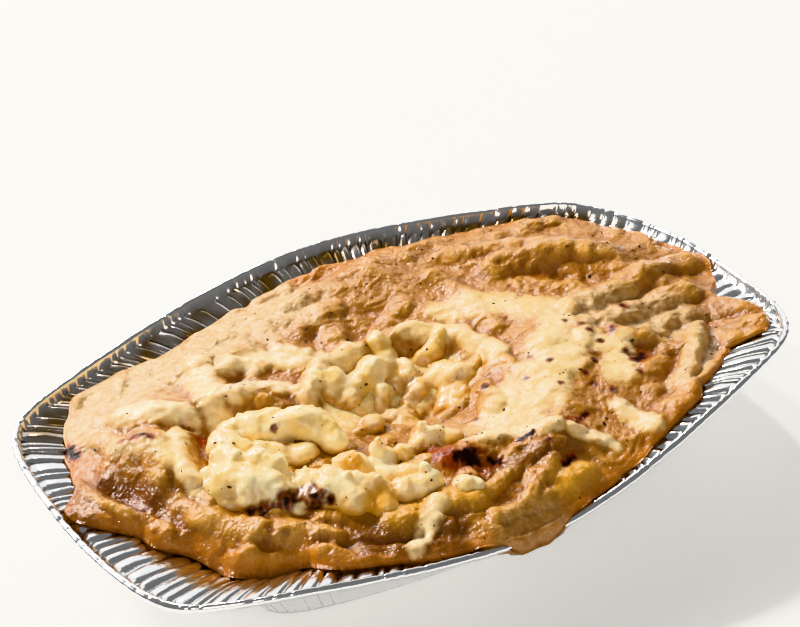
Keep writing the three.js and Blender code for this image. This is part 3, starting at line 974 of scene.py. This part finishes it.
# Lighter skin: mostly skin that stayed a pale tan, and on the far left a painted sheen of broad glare.
PALE_AND_SHEEN_PLACES = {  # points of the line, half-width, how strongly: skin that stayed a pale tan
    "right_skin": (((60, -5), (75, -12), (80, -25)), 12, 0.8),
    "far_left_painted_sheen": (((-85, 34), (-50, 45), (-15, 50)), 17, 1.0),
    "run_over_rim": (((-14, -68), (0, -68)), 7, 0.35),
    "right_crest": (((62, -46), (72, -41), (82, -30)), 6, 0.8),
    "left_lump": (((-86, 14), (-78, 2)), 4, 1.0),
}
# Darker skin: mostly deeper browning, and in the near centre painted shade on slopes facing away from the
# light.
DEEPER_AND_SHADED_PLACES = {  # the same, for skin that browned deeply
    "shaded_near_centre": (((-46, -52), (-34, -57), (-27, -59)), 8, 1.0),
    "left_valley": (((-95, 4), (-89, -8)), 7, 1.0),
    "left_edge": (((-101, 10), (-105, -3)), 6, 0.7),
    "behind_the_band": (((-4, -47), (18, -52)), 4, 0.8),
    "tongue": (((90, -24), (100, -31)), 12, 0.3),
}
BLUR_PASSES = {"rolls": 24, "folds": 150, "wrinkles": 5}  # how far heights are averaged to find each


def within(x, y, places):
    """How far each place lies within any of these, from 0 to 1, with a ragged edge."""
    ragged = noise(np.stack([x, y, np.zeros_like(x)], -1), 7, 47) * 0.35
    share = np.zeros_like(x)
    for line, half, strength in places.values():
        out = distance_to_line(x, y, line) / half + ragged
        share = np.maximum(share, strength * (1 - smooth_step(out, 0.4, 1.1)))
    return share


def in_hollow(x, y):
    """How deep in the spooned-out hollow each place lies, from 0 to 1."""
    return np.exp(-((x + 1) / 24) ** 2 - ((y + 2) / 19) ** 2)


def skin_marks(points, cover, thick, inward):
    """What the material needs to know of each point."""
    x, y = points[:, 0], points[:, 1]
    toast, black = browning(x, y)
    height = points[:, 2]
    relief, broad, fine = (height - blurred(height, SKIN_CELLS, passes) for passes in BLUR_PASSES.values())
    gold = np.zeros_like(x)
    for name in ("golden_lump", "yellow_lump", "orange_lump"):
        gold = np.maximum(gold, 1 - smooth_step(distance_to_line(x, y, ROLLS[name][0]), 1.0, 6.5))
    return {
        "cheese": cover, "toast": toast, "black": black, "gold": gold,
        # Lighter on the crests of the rolls: painted highlight. Darker in small pits and broad hollows:
        # partly deeper sauce, partly painted shade.
        "crest": np.clip(relief / 2.5 + 0.5, 0, 1), "pit_shade": np.clip(0.5 - fine / 0.7, 0, 1),
        "rimward": 1 - smooth_step(inward, 0.5, 7), "hollow": smooth_step(in_hollow(x, y), 0.25, 0.75),
        "pale": within(x, y, PALE_AND_SHEEN_PLACES), "deep": within(x, y, DEEPER_AND_SHADED_PLACES),
        "valley": np.clip(0.35 - broad / 4, 0, 1), "cream": np.clip(thick / 2.2, 0, 1),
    }


print("lumps of the skin are this wide, mm:", [size for size, height in LUMPS])

# %% [markdown]
# ## Browned sauce, cheese and char in one material
# The skin is a wet, fatty sauce that has browned. Light goes a little way in and comes out warm,
# so the shader scatters under its surface, and a thin clear coat of fat gives the sharp white
# highlights. Where cheese covers it the colour is pale, and burns go through red-brown to black.
# Crests are painted lighter, as painted highlight. Dips and pits are painted darker, partly as deeper
# sauce and partly as painted shade, and less cheese shows in them. A few places are darker, partly
# deeper browning and partly painted shade, and a few lighter, partly pale tan and partly painted sheen.

# %% Browned cheese sauce
SAUCE_IOR = 1.46
WET_GRAIN = 1.4  # the real grain is nearer 0.8 mm, too fine to show at this distance
MELTED_SWELL = 4.5
PATCHES = 9
FLECKS = 2.2
SAUCE_GLOW_DEPTH = 2.0
SKIN_MARKS = (
    "cheese", "toast", "black", "gold", "crest", "pit_shade", "rimward", "hollow", "pale", "deep", "valley",
    "cream",
)
SKIN_TINTS = {  # the darkest and the lightest tone, then layers: where, how strongly, which colour
    "sauce": ("#8c5410", "#c48b34", (
        # The crest layer is a painted highlight; the valley and pit layers are painted shade, partly deeper
        # sauce.
        ("fleck", 0.5, "#d29f4c"), ("crest", 0.42, "#d9a95c"), ("valley", 0.8, "#8c4d06"),
        ("pit_shade", 0.7, "#6c3603"), ("hollow", 0.8, "#96641c"), ("rimward", 0.55, "#a8620a"),
        # The pale layer includes a painted sheen on the far left; the deep layer includes painted shade in
        # the near centre.
        ("spotty_pale_and_sheen", 1.0, "#e6cfa0"), ("deep", 0.8, "#643405"), ("gold", 0.75, "#d69c3a"),
    )),
    "cheese": ("#e6b95e", "#fae3ab", (("cream", 0.7, "#fff0cc"),)),
}
# The sunk gap shows less cheese where the surface is low, so the dips come out darker as painted shade.
CHEESE_GAPS = (("tone", 0.55), ("sunk", 1.0), ("fleck", 0.45))  # where cheese is thin, and how strongly
SKIN_CHAR = (("toast", "#7c2f05"), ("black", "#160402"))


def browned_cheese_sauce():
    """Browned sauce skin: warm, wet and slightly see-through, with pale cheese and burnt spots."""
    material, tree, shader = new_material("browned_cheese_sauce")
    place = node(tree, "ShaderNodeTexCoord").outputs["Object"]
    mark = {
        name: node(tree, "ShaderNodeAttribute", attribute_name=name).outputs["Fac"] for name in SKIN_MARKS
    }
    patches = node(tree, "ShaderNodeTexNoise", {"Vector": place, "Scale": 1 / (PATCHES * MM), "Detail": 5.0})
    flecks = node(tree, "ShaderNodeTexNoise", {"Vector": place, "Scale": 1 / (FLECKS * MM), "Detail": 6.0})
    tone = node(tree, "ShaderNodeMapRange", {0: patches.outputs["Fac"], 1: 0.32, 2: 0.68}).outputs[0]
    fleck = node(tree, "ShaderNodeMapRange", {0: flecks.outputs["Fac"], 1: 0.35, 2: 0.7}).outputs[0]
    spotty = node(tree, "ShaderNodeMath", {0: fleck, 1: 0.5, 2: 0.25}, operation="MULTIPLY_ADD").outputs[0]
    # Pale places, the far-left painted sheen among them, mottled by the flecks.
    pale = node(tree, "ShaderNodeMath", {0: mark["pale"], 1: spotty}, operation="MULTIPLY").outputs[0]
    # Less cheese in low places: painted shade in the dips.
    sunk = node(tree, "ShaderNodeMapRange", {0: mark["crest"], 1: 0.05, 2: 0.5, 3: 0.6, 4: 0.0}).outputs[0]
    mark |= {"tone": tone, "fleck": fleck, "spotty_pale_and_sheen": pale, "sunk": sunk}
    tints = {}
    for name, (dark, light, layers) in SKIN_TINTS.items():
        tint = node(tree, "ShaderNodeMix", {0: tone, 6: linear(dark), 7: linear(light)}, data_type="RGBA")
        for where, strength, code in layers:
            share = node(tree, "ShaderNodeMath", {0: mark[where], 1: strength}, operation="MULTIPLY")
            tint = node(tree, "ShaderNodeMix", {
                0: share.outputs[0], 6: tint.outputs[2], 7: linear(code),
            }, data_type="RGBA")
        tints[name] = tint.outputs[2]
    shown = node(tree, "ShaderNodeMath", {0: mark["cheese"], 1: 1.25, 2: 0.1}, operation="MULTIPLY_ADD")
    for where, strength in CHEESE_GAPS:
        shown = node(tree, "ShaderNodeMath", {
            0: mark[where], 1: -strength, 2: shown.outputs[0],
        }, operation="MULTIPLY_ADD")
    shown = node(tree, "ShaderNodeClamp", {"Value": shown.outputs[0]}).outputs[0]
    colour = node(tree, "ShaderNodeMix", {0: shown, 6: tints["sauce"], 7: tints["cheese"]}, data_type="RGBA")
    for where, code in SKIN_CHAR:
        colour = node(tree, "ShaderNodeMix", {
            0: mark[where], 6: colour.outputs[2], 7: linear(code),
        }, data_type="RGBA")
    grain = node(tree, "ShaderNodeTexNoise", {"Vector": place, "Scale": 1 / (WET_GRAIN * MM), "Detail": 3.0})
    calmer = node(tree, "ShaderNodeMapRange", {0: mark["cheese"], 3: 1.0, 4: 0.35}).outputs[0]
    calmest = node(tree, "ShaderNodeMath", {0: calmer, 1: 0.5}, operation="MULTIPLY").outputs[0]
    swell = node(tree, "ShaderNodeTexNoise", {
        "Vector": place, "Scale": 1 / (MELTED_SWELL * MM), "Detail": 1.0,
    })
    melted = node(tree, "ShaderNodeBump", {
        "Height": swell.outputs["Fac"], "Strength": 0.7, "Distance": 1.6 * MM,
    })
    soft, wet = (
        node(tree, "ShaderNodeBump", {
            "Height": grain.outputs["Fac"], "Strength": strength, "Distance": depth * MM,
            "Normal": melted.outputs["Normal"],
        })
        for strength, depth in ((calmest, 0.7), (calmer, 0.9))
    )
    glow = node(tree, "ShaderNodeMapRange", {0: shown, 3: 0.12, 4: 0.7})
    brown = node(tree, "ShaderNodeMath", {0: mark["toast"], 1: 0.7}, operation="MULTIPLY").outputs[0]
    burnt = node(tree, "ShaderNodeMath", {0: mark["black"], 1: brown}, operation="MAXIMUM")
    fat = node(tree, "ShaderNodeMapRange", {0: burnt.outputs[0], 3: 0.85, 4: 0.25})
    dry = node(tree, "ShaderNodeMapRange", {0: mark["black"], 3: 0.4, 4: 0.6})
    tree.links.new(colour.outputs[2], shader.inputs["Base Color"])
    tree.links.new(dry.outputs[0], shader.inputs["Roughness"])
    tree.links.new(soft.outputs["Normal"], shader.inputs["Normal"])
    tree.links.new(wet.outputs["Normal"], shader.inputs["Coat Normal"])
    shader.inputs["IOR"].default_value = SAUCE_IOR
    tree.links.new(glow.outputs[0], shader.inputs["Subsurface Weight"])
    shader.inputs["Subsurface Radius"].default_value = (1.0, 0.6, 0.25)
    shader.inputs["Subsurface Scale"].default_value = SAUCE_GLOW_DEPTH * MM
    shader.inputs["Specular IOR Level"].default_value = 0.12
    tree.links.new(fat.outputs[0], shader.inputs["Coat Weight"])
    shader.inputs["Coat Roughness"].default_value = 0.2
    return material


# %% [markdown]
# ## The skin as one closed piece
# An open sheet would show its thin edge over the foil. So the grid's border is carried down in
# rings, from the edge that lies on the foil, over its pleats and along the wall to the base, and
# closed there. The first ring lies inside the foil's thickness, so no light passes under the edge.

# %% Skin of the gratin
def make_skin():
    turn, share, edge, inward, points, cover, thick = skin_top()
    points = wrinkled(points, grid_normals(points, SKIN_CELLS), cover, inward)
    marks = skin_marks(points, cover, thick, inward)
    side = SKIN_CELLS + 1
    index = np.arange(side * side).reshape(side, side)
    corners = (index[:-1, :-1], index[1:, :-1], index[1:, 1:], index[:-1, 1:])
    faces = np.stack(corners, -1).reshape(-1, 4).tolist()
    border = np.concatenate([index[:-1, 0], index[-1, :-1], index[:0:-1, -1], index[0, :0:-1]])
    border_turn = turn[border]
    border_edge = edge[border]
    flange = np.maximum(between_sides(FLANGE, border_turn), border_edge + SHELF)
    base = between_sides(BASE_INSET, border_turn)
    first = border_edge + 0.4
    on_bead = foil_height(border_turn, first) - 0.1 - 0.6 * (border_edge < 0)
    in_foil = pleated_flange(border_turn, first) - FOIL_SHOWN / 2
    rings = [points, place_at(border_turn, first, np.where(border_edge < 2 * BEAD, on_bead, in_foil))]
    for step, lift in FLANGE_RINGS:
        inset = first + (flange - first) * step
        rings.append(place_at(border_turn, inset, foil_height(border_turn, inset) + lift))
    foot = base - BASE_FILLET
    rings.append(place_at(border_turn, foot, foil_height(border_turn, foot) + OVER_PLEATS))
    rings.append(place_at(border_turn, base + BASE_FILLET, np.full_like(base, FOIL + UNDER_GAP)))
    count = len(border)
    lower_rings = len(rings) - 1
    starts = [border] + [side * side + ring * count + np.arange(count) for ring in range(lower_rings)]
    for upper, lower in zip(starts, starts[1:]):
        faces.extend(zip(upper, np.roll(upper, -1), np.roll(lower, -1), lower))
    faces.append(tuple(starts[-1].tolist()))
    faces = [tuple(int(corner) for corner in face) for face in faces]
    all_points = np.concatenate(rings)
    full_marks = {
        name: np.concatenate([values, np.tile(values[border], lower_rings)]) for name, values in marks.items()
    }
    skin = make_piece("browned_skin", all_points, faces, browned_cheese_sauce(), full_marks)
    return skin, points, grid_normals(points, SKIN_CELLS), share


skin, skin_points, skin_normals, skin_share = make_skin()
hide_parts("spaetzle_gratin")

# %% [markdown]
# ## Pale spaetzle that stand up
# Round the hollow, clumps of spaetzle were torn open and show their pale inside. Each noodle is a
# short line with a radius, as dough that was pushed through a hole. Balls along the lines, with
# smaller knobs on them, are melted into one closed surface by a fine voxel remesh, then smoothed.

# %% Pale clumps
DOUGH = {  # points of the line, radius, how many crumbs stand on it
    "front_left_body": (((-67, -16, 33.5), (-60, -24, 33.0)), 8.0, 0),
    "front_left_flank": (((-71, -11, 34.0), (-71, -19, 32.0)), 4.8, 8),
    "front_left_knob": (((-66, -8, 37.6), (-64, -12, 38.0)), 4.0, 26),
    "front_left_second_knob": (((-60, -15, 38.4), (-56, -20, 37.0)), 3.9, 30),
    "front_left_lip": (((-66, -26, 30.5), (-57, -30, 31.0)), 4.2, 0),
    "front_right_body": (((-50, -30, 33.0), (-42, -38, 32.5)), 6.6, 0),
    "front_right_knob": (((-51, -26, 35.6), (-49, -30, 35.6)), 3.9, 22),
    "front_right_ridge": (((-46, -31, 36.6), (-38, -38, 35.6)), 3.8, 34),
    "front_right_end": (((-36, -40, 34.0), (-38, -44, 32.0)), 4.3, 16),
    "yellow_knob": (((-38, -26, 35.2), (-36, -29, 34.2)), 4.0, 20),
    "cheese_peak_foot": (((-31, -30, 31), (-28, -28, 33)), 4.2, 0),
    "cheese_peak": (((-29, -27.5, 34.5), (-28.6, -27.2, 37.5)), 2.0, 0),
    "cheese_peak_tip": (((-28.6, -27.2, 38), (-28.5, -27.1, 40.2)), 1.0, 0),
    "peak_apron": (((-31, -33, 32), (-25, -36, 32)), 4.0, 0),
    "back_left": (((-62, 0, 34.5), (-60, -6, 34.5)), 4.8, 10),
    "back_middle": (((-57, 2, 35.0), (-47, -2, 36.0)), 4.8, 14),
    "back_right": (((-46, -3, 36.4), (-37, -8, 36.4)), 5.0, 12),
    "back_end": (((-36, -10, 36.0), (-35, -15, 34.4)), 4.2, 6),
    "back_foot": (((-55, -8, 33), (-44, -14, 32)), 4.4, 0),
    "cream_lump": (((-30, -42, 33.4), (-22, -43.5, 34.0)), 3.9, 8),
    "cream_lump_tip": (((-23.5, -41, 36.0), (-23, -41, 37.6)), 1.7, 0),
    "small_left": (((-22.5, -28, 31.5), (-21.5, -29, 32.6)), 3.4, 10),
    "small_near": (((-20, -34, 31.8), (-18, -34, 32.6)), 3.0, 6),
    "pointed_foot": (((-14, -26, 30), (-6, -28, 30.5)), 4.2, 0),
    "pointed_middle": (((-12, -25, 32.5), (-8.5, -25.5, 33)), 2.8, 0),
    "pointed_tip": (((-12.5, -24.5, 34.2), (-13.2, -24.2, 36.4)), 1.4, 0),
    "blob_by_char": (((-16, -49, 33.4), (-13.5, -50, 33.0)), 3.0, 0),
}
TORN_NOODLES = 17
TORN_HOLLOW = (-3, 0, 25, 18)  # middle x and y, half-length, half-width
DOUGH_VOXEL = 0.5
LARGE_BALL = 1.6
CRUMB_SIZE = (0.55, 1.15)


def melted_balls(name, balls, voxel):
    """One closed mesh in millimetres from overlapping balls, each a middle and three half-sizes."""
    form = bmesh.new()
    for x, y, z, *half in balls:
        place = Matrix.Translation((x, y, z)) @ Matrix.Diagonal((*half, 1))
        fineness = 3 if max(half) > LARGE_BALL else 1
        bmesh.ops.create_icosphere(form, subdivisions=fineness, radius=1, matrix=place)
    mesh = bpy.data.meshes.new(name)
    form.to_mesh(mesh)
    form.free()
    holder = bpy.data.objects.new(name, mesh)
    bpy.context.scene.collection.objects.link(holder)
    remesh = holder.modifiers.new("voxels", "REMESH")
    remesh.mode = "VOXEL"
    remesh.voxel_size = voxel
    smooth = holder.modifiers.new("smooth", "SMOOTH")
    smooth.factor = 0.5
    smooth.iterations = 4
    result = bpy.data.meshes.new_from_object(holder.evaluated_get(bpy.context.evaluated_depsgraph_get()))
    points = np.zeros(len(result.vertices) * 3)
    normals = np.zeros(len(result.vertices) * 3)
    result.vertices.foreach_get("co", points)
    result.vertices.foreach_get("normal", normals)
    faces = [tuple(face.vertices) for face in result.polygons]
    bpy.data.objects.remove(holder)
    bpy.data.meshes.remove(mesh)
    bpy.data.meshes.remove(result)
    return points.reshape(-1, 3), normals.reshape(-1, 3), faces


def torn_noodles(rng):
    """Thick pale noodles that lie half sunk all over the hollow, as lines of dough."""
    x, y, long, wide = TORN_HOLLOW
    for number in range(TORN_NOODLES):
        out = math.sqrt((number + 0.5) / TORN_NOODLES)
        way = number * FULL * 0.382 + rng.normal(0, 0.2)
        middle = np.array([x + long * out * math.cos(way), y + wide * out * math.sin(way)])
        lean = rng.uniform(0, math.pi)
        arm = rng.uniform(2.5, 6.0) * np.array([math.cos(lean), math.sin(lean)])
        ends = np.array([middle - arm, middle + arm])
        height = crust_base(ends[:, 0], ends[:, 1]) + rng.uniform(-2.4, -0.4) + (0, rng.uniform(0, 3.5))
        yield np.column_stack([ends, height]), rng.uniform(2.8, 5.2), int(rng.integers(0, 4))


def dough_balls(seed):
    """Balls along each line of dough, each a little off it, and small crumbs where it tore."""
    rng = np.random.default_rng(seed)
    balls = []
    for line, radius, crumbs in list(DOUGH.values()) + list(torn_noodles(rng)):
        start, end = np.array(line, float)
        steps = max(2, int(np.linalg.norm(end - start) / (0.35 * radius)) + 1)
        for share in np.linspace(0, 1, steps):
            spot = start + (end - start) * share + rng.normal(0, 0.05 * radius, 3)
            balls.append((*spot, *(radius * rng.uniform(0.88, 1.06, 3))))
        for _ in range(crumbs):
            aim = rng.normal(size=3)
            aim[2] = abs(aim[2]) + 0.3
            aim /= np.linalg.norm(aim)
            spot = start + (end - start) * rng.uniform(-0.1, 1.1) + aim * radius * rng.uniform(0.86, 1.02)
            balls.append((*spot, *(rng.uniform(*CRUMB_SIZE) * rng.uniform(0.8, 1.25, 3))))
    return balls


CLUMP_BURNS = (  # x, y, z and radius: where the grill caught the clumps
    (-68, -27, 34, 1.8), (-65.5, -30, 34, 2.8), (-63, -31.3, 35, 2.8), (-60, -31, 36, 3.0),
    (-57.5, -30.7, 37, 2.4), (-55, -29.5, 37.2, 1.8), (-52.5, -32, 38.2, 1.9), (-52.2, -34.5, 36.7, 2.6),
    (-53.9, -34.6, 34.5, 2.4), (-49.9, -36.8, 36.3, 1.4), (-49, -7, 39.5, 1.6), (-48, -11, 37, 1.4),
    (-65.1, 3.1, 36, 1.8), (-20, -49, 35, 1.6),
)
CLUMP_GOLD = (  # the same, where sauce coloured them
    (-38, -42, 33, 8), (-46, -39, 31, 7), (-66, -29, 30, 5), (-37, -28, 36, 4),
)


def clump_marks(points):
    hollow = in_hollow(points[:, 0], points[:, 1])
    proud = points[:, 2] - crust_base(points[:, 0], points[:, 1])
    low = 1 - smooth_step(proud, -1 + 2 * hollow, 4 + 4 * hollow)
    gold = np.zeros(len(points))
    for x, y, z, radius in CLUMP_GOLD:
        out = np.linalg.norm(points - (x, y, z), axis=1) / radius
        gold = np.maximum(gold, 1 - smooth_step(out, 0.4, 1.2))
    ragged = noise(points, 2.2, 71) * 0.5 + noise(points, 1.0, 72) * 0.3
    toast = np.zeros(len(points))
    black = np.zeros(len(points))
    for x, y, z, radius in CLUMP_BURNS:
        out = np.linalg.norm(points - (x, y, z), axis=1) / radius + ragged
        toast = np.maximum(toast, 1 - smooth_step(out, 0.7, 1.5))
        black = np.maximum(black, 1 - smooth_step(out + 0.5 * noise(points, 1.4, 74), 0.25, 0.8))
    low = np.clip(low + noise(points, 5, 73) * 0.3, 0, 1)
    return {"low": low, "gold": gold, "toast": toast, "black": black}


# %% [markdown]
# ## Egg dough under cheese
# Spaetzle are pale egg dough, here glazed with melted cheese. The colour goes from cream to egg
# yellow, and to the sauce's gold low down, where it soaked. It scatters light more than the skin.

# %% Glazed egg dough
DOUGH_CLOUDS = 7
DOUGH_GRAIN = 1.3
DOUGH_GLOW_DEPTH = 2.5
DOUGH_LAYERS = {"low": "#b9802a", "gold": "#dd9f36", "toast": "#75390e", "black": "#1b0704"}


def glazed_egg_dough():
    """Soft pale dough with a wet glaze: cream and egg yellow in soft clouds, gold low down and where it
    soaked.
    """
    material, tree, shader = new_material("glazed_egg_dough")
    place = node(tree, "ShaderNodeTexCoord").outputs["Object"]
    mark = {
        name: node(tree, "ShaderNodeAttribute", attribute_name=name).outputs["Fac"]
        for name in DOUGH_LAYERS
    }
    cloud = node(tree, "ShaderNodeTexNoise", {
        "Vector": place, "Scale": 1 / (DOUGH_CLOUDS * MM), "Detail": 4.0,
    })
    tone = node(tree, "ShaderNodeMapRange", {0: cloud.outputs["Fac"], 1: 0.35, 2: 0.65})
    colour = node(tree, "ShaderNodeMix", {
        0: tone.outputs[0], 6: linear("#f2cf7c"), 7: linear("#fae9bd"),
    }, data_type="RGBA")
    for name, code in DOUGH_LAYERS.items():
        colour = node(tree, "ShaderNodeMix", {
            0: mark[name], 6: colour.outputs[2], 7: linear(code),
        }, data_type="RGBA")
    fine = node(tree, "ShaderNodeTexNoise", {
        "Vector": place, "Scale": 1 / (DOUGH_GRAIN * MM), "Detail": 4.0,
    })
    bump = node(tree, "ShaderNodeBump", {
        "Height": fine.outputs["Fac"], "Strength": 0.3, "Distance": 0.3 * MM,
    })
    tree.links.new(colour.outputs[2], shader.inputs["Base Color"])
    tree.links.new(bump.outputs["Normal"], shader.inputs["Normal"])
    shader.inputs["Roughness"].default_value = 0.3
    shader.inputs["IOR"].default_value = SAUCE_IOR
    shader.inputs["Subsurface Weight"].default_value = 0.4
    shader.inputs["Subsurface Radius"].default_value = (1.0, 0.7, 0.35)
    shader.inputs["Subsurface Scale"].default_value = DOUGH_GLOW_DEPTH * MM
    dry = node(tree, "ShaderNodeMapRange", {0: mark["toast"], 3: 0.5, 4: 0.1})
    tree.links.new(dry.outputs[0], shader.inputs["Coat Weight"])
    shader.inputs["Coat Roughness"].default_value = 0.18
    return material


def make_clumps():
    points, normals, faces = melted_balls("pale_clumps", dough_balls(81), DOUGH_VOXEL)
    torn = smooth_step(normals[:, 2], 0.1, 0.8)
    uneven = noise(points, 6.0, 82) * 1.1 + noise(points, 3.0, 85) * 0.4
    uneven += (noise(points, 2.4, 83) * 0.2 + noise(points, 1.1, 84) * 0.08) * torn
    points = points + normals * uneven[:, None]
    make_piece("pale_spaetzle", points, faces, glazed_egg_dough(), clump_marks(points))
    return points, normals


clump_points, clump_normals = make_clumps()

# %% [markdown]
# ## Pepper and browned crumbs
# Coarse pepper and tiny browned crumbs lie all over the food. Painted dots would look flat, so each
# is a real grain: a small six-sided dome, lying on the surface, with its own size, turn and shade.
# All of them are joined in one mesh, worked out as arrays.

# %% Specks
SPECKS = {"skin": 420, "clumps": 90}
SPECK_SIZE = (0.13, 0.38)
SPECK_SIDES = 6


def ground_pepper():
    """Coarse black pepper and burnt crumbs: dry, dark brown to black, with no gloss."""
    material, tree, shader = new_material("ground_pepper_and_burnt_crumbs")
    shade = node(tree, "ShaderNodeAttribute", attribute_name="shade").outputs["Fac"]
    tint = node(tree, "ShaderNodeMix", {
        0: shade, 6: linear("#1d0f08"), 7: linear("#7a4214"),
    }, data_type="RGBA")
    tree.links.new(tint.outputs[2], shader.inputs["Base Color"])
    shader.inputs["Roughness"].default_value = 0.6
    return material


def make_specks():
    rng = np.random.default_rng(91)
    inner = np.flatnonzero(skin_share < 0.97)
    upper = np.flatnonzero(clump_normals[:, 2] > 0.1)
    on_skin = rng.choice(inner, SPECKS["skin"], replace=False)
    on_clumps = rng.choice(upper, SPECKS["clumps"], replace=False)
    middle = np.concatenate([skin_points[on_skin], clump_points[on_clumps]])
    normal = np.concatenate([skin_normals[on_skin], clump_normals[on_clumps]])
    count = len(middle)
    side = np.cross(normal, rng.normal(size=(count, 3)))
    side /= np.linalg.norm(side, axis=1, keepdims=True)
    other = np.cross(normal, side)
    size = rng.uniform(*SPECK_SIZE, count) * rng.choice((0.7, 1.0, 1.6), count, p=(0.5, 0.35, 0.15))
    ring = []
    for step in range(SPECK_SIDES):
        angle = FULL * step / SPECK_SIDES
        reach = size * rng.uniform(0.7, 1.3, count)
        ring.append(middle + (side * math.cos(angle) * 1.3 + other * math.sin(angle)) * reach[:, None])
    top = middle + normal * (size * 0.7)[:, None]
    foot = middle - normal * (size * 0.5)[:, None]
    points = np.stack(ring + [top, foot], 1).reshape(-1, 3)
    faces = []
    for grain in range(count):
        start = grain * (SPECK_SIDES + 2)
        for step in range(SPECK_SIDES):
            after = start + (step + 1) % SPECK_SIDES
            faces.append((start + step, after, start + SPECK_SIDES))
            faces.append((after, start + step, start + SPECK_SIDES + 1))
    shade = np.repeat(rng.uniform(0, 1, count) ** 2, SPECK_SIDES + 2)
    make_piece("pepper_specks", points, faces, ground_pepper(), {"shade": shade})


make_specks()
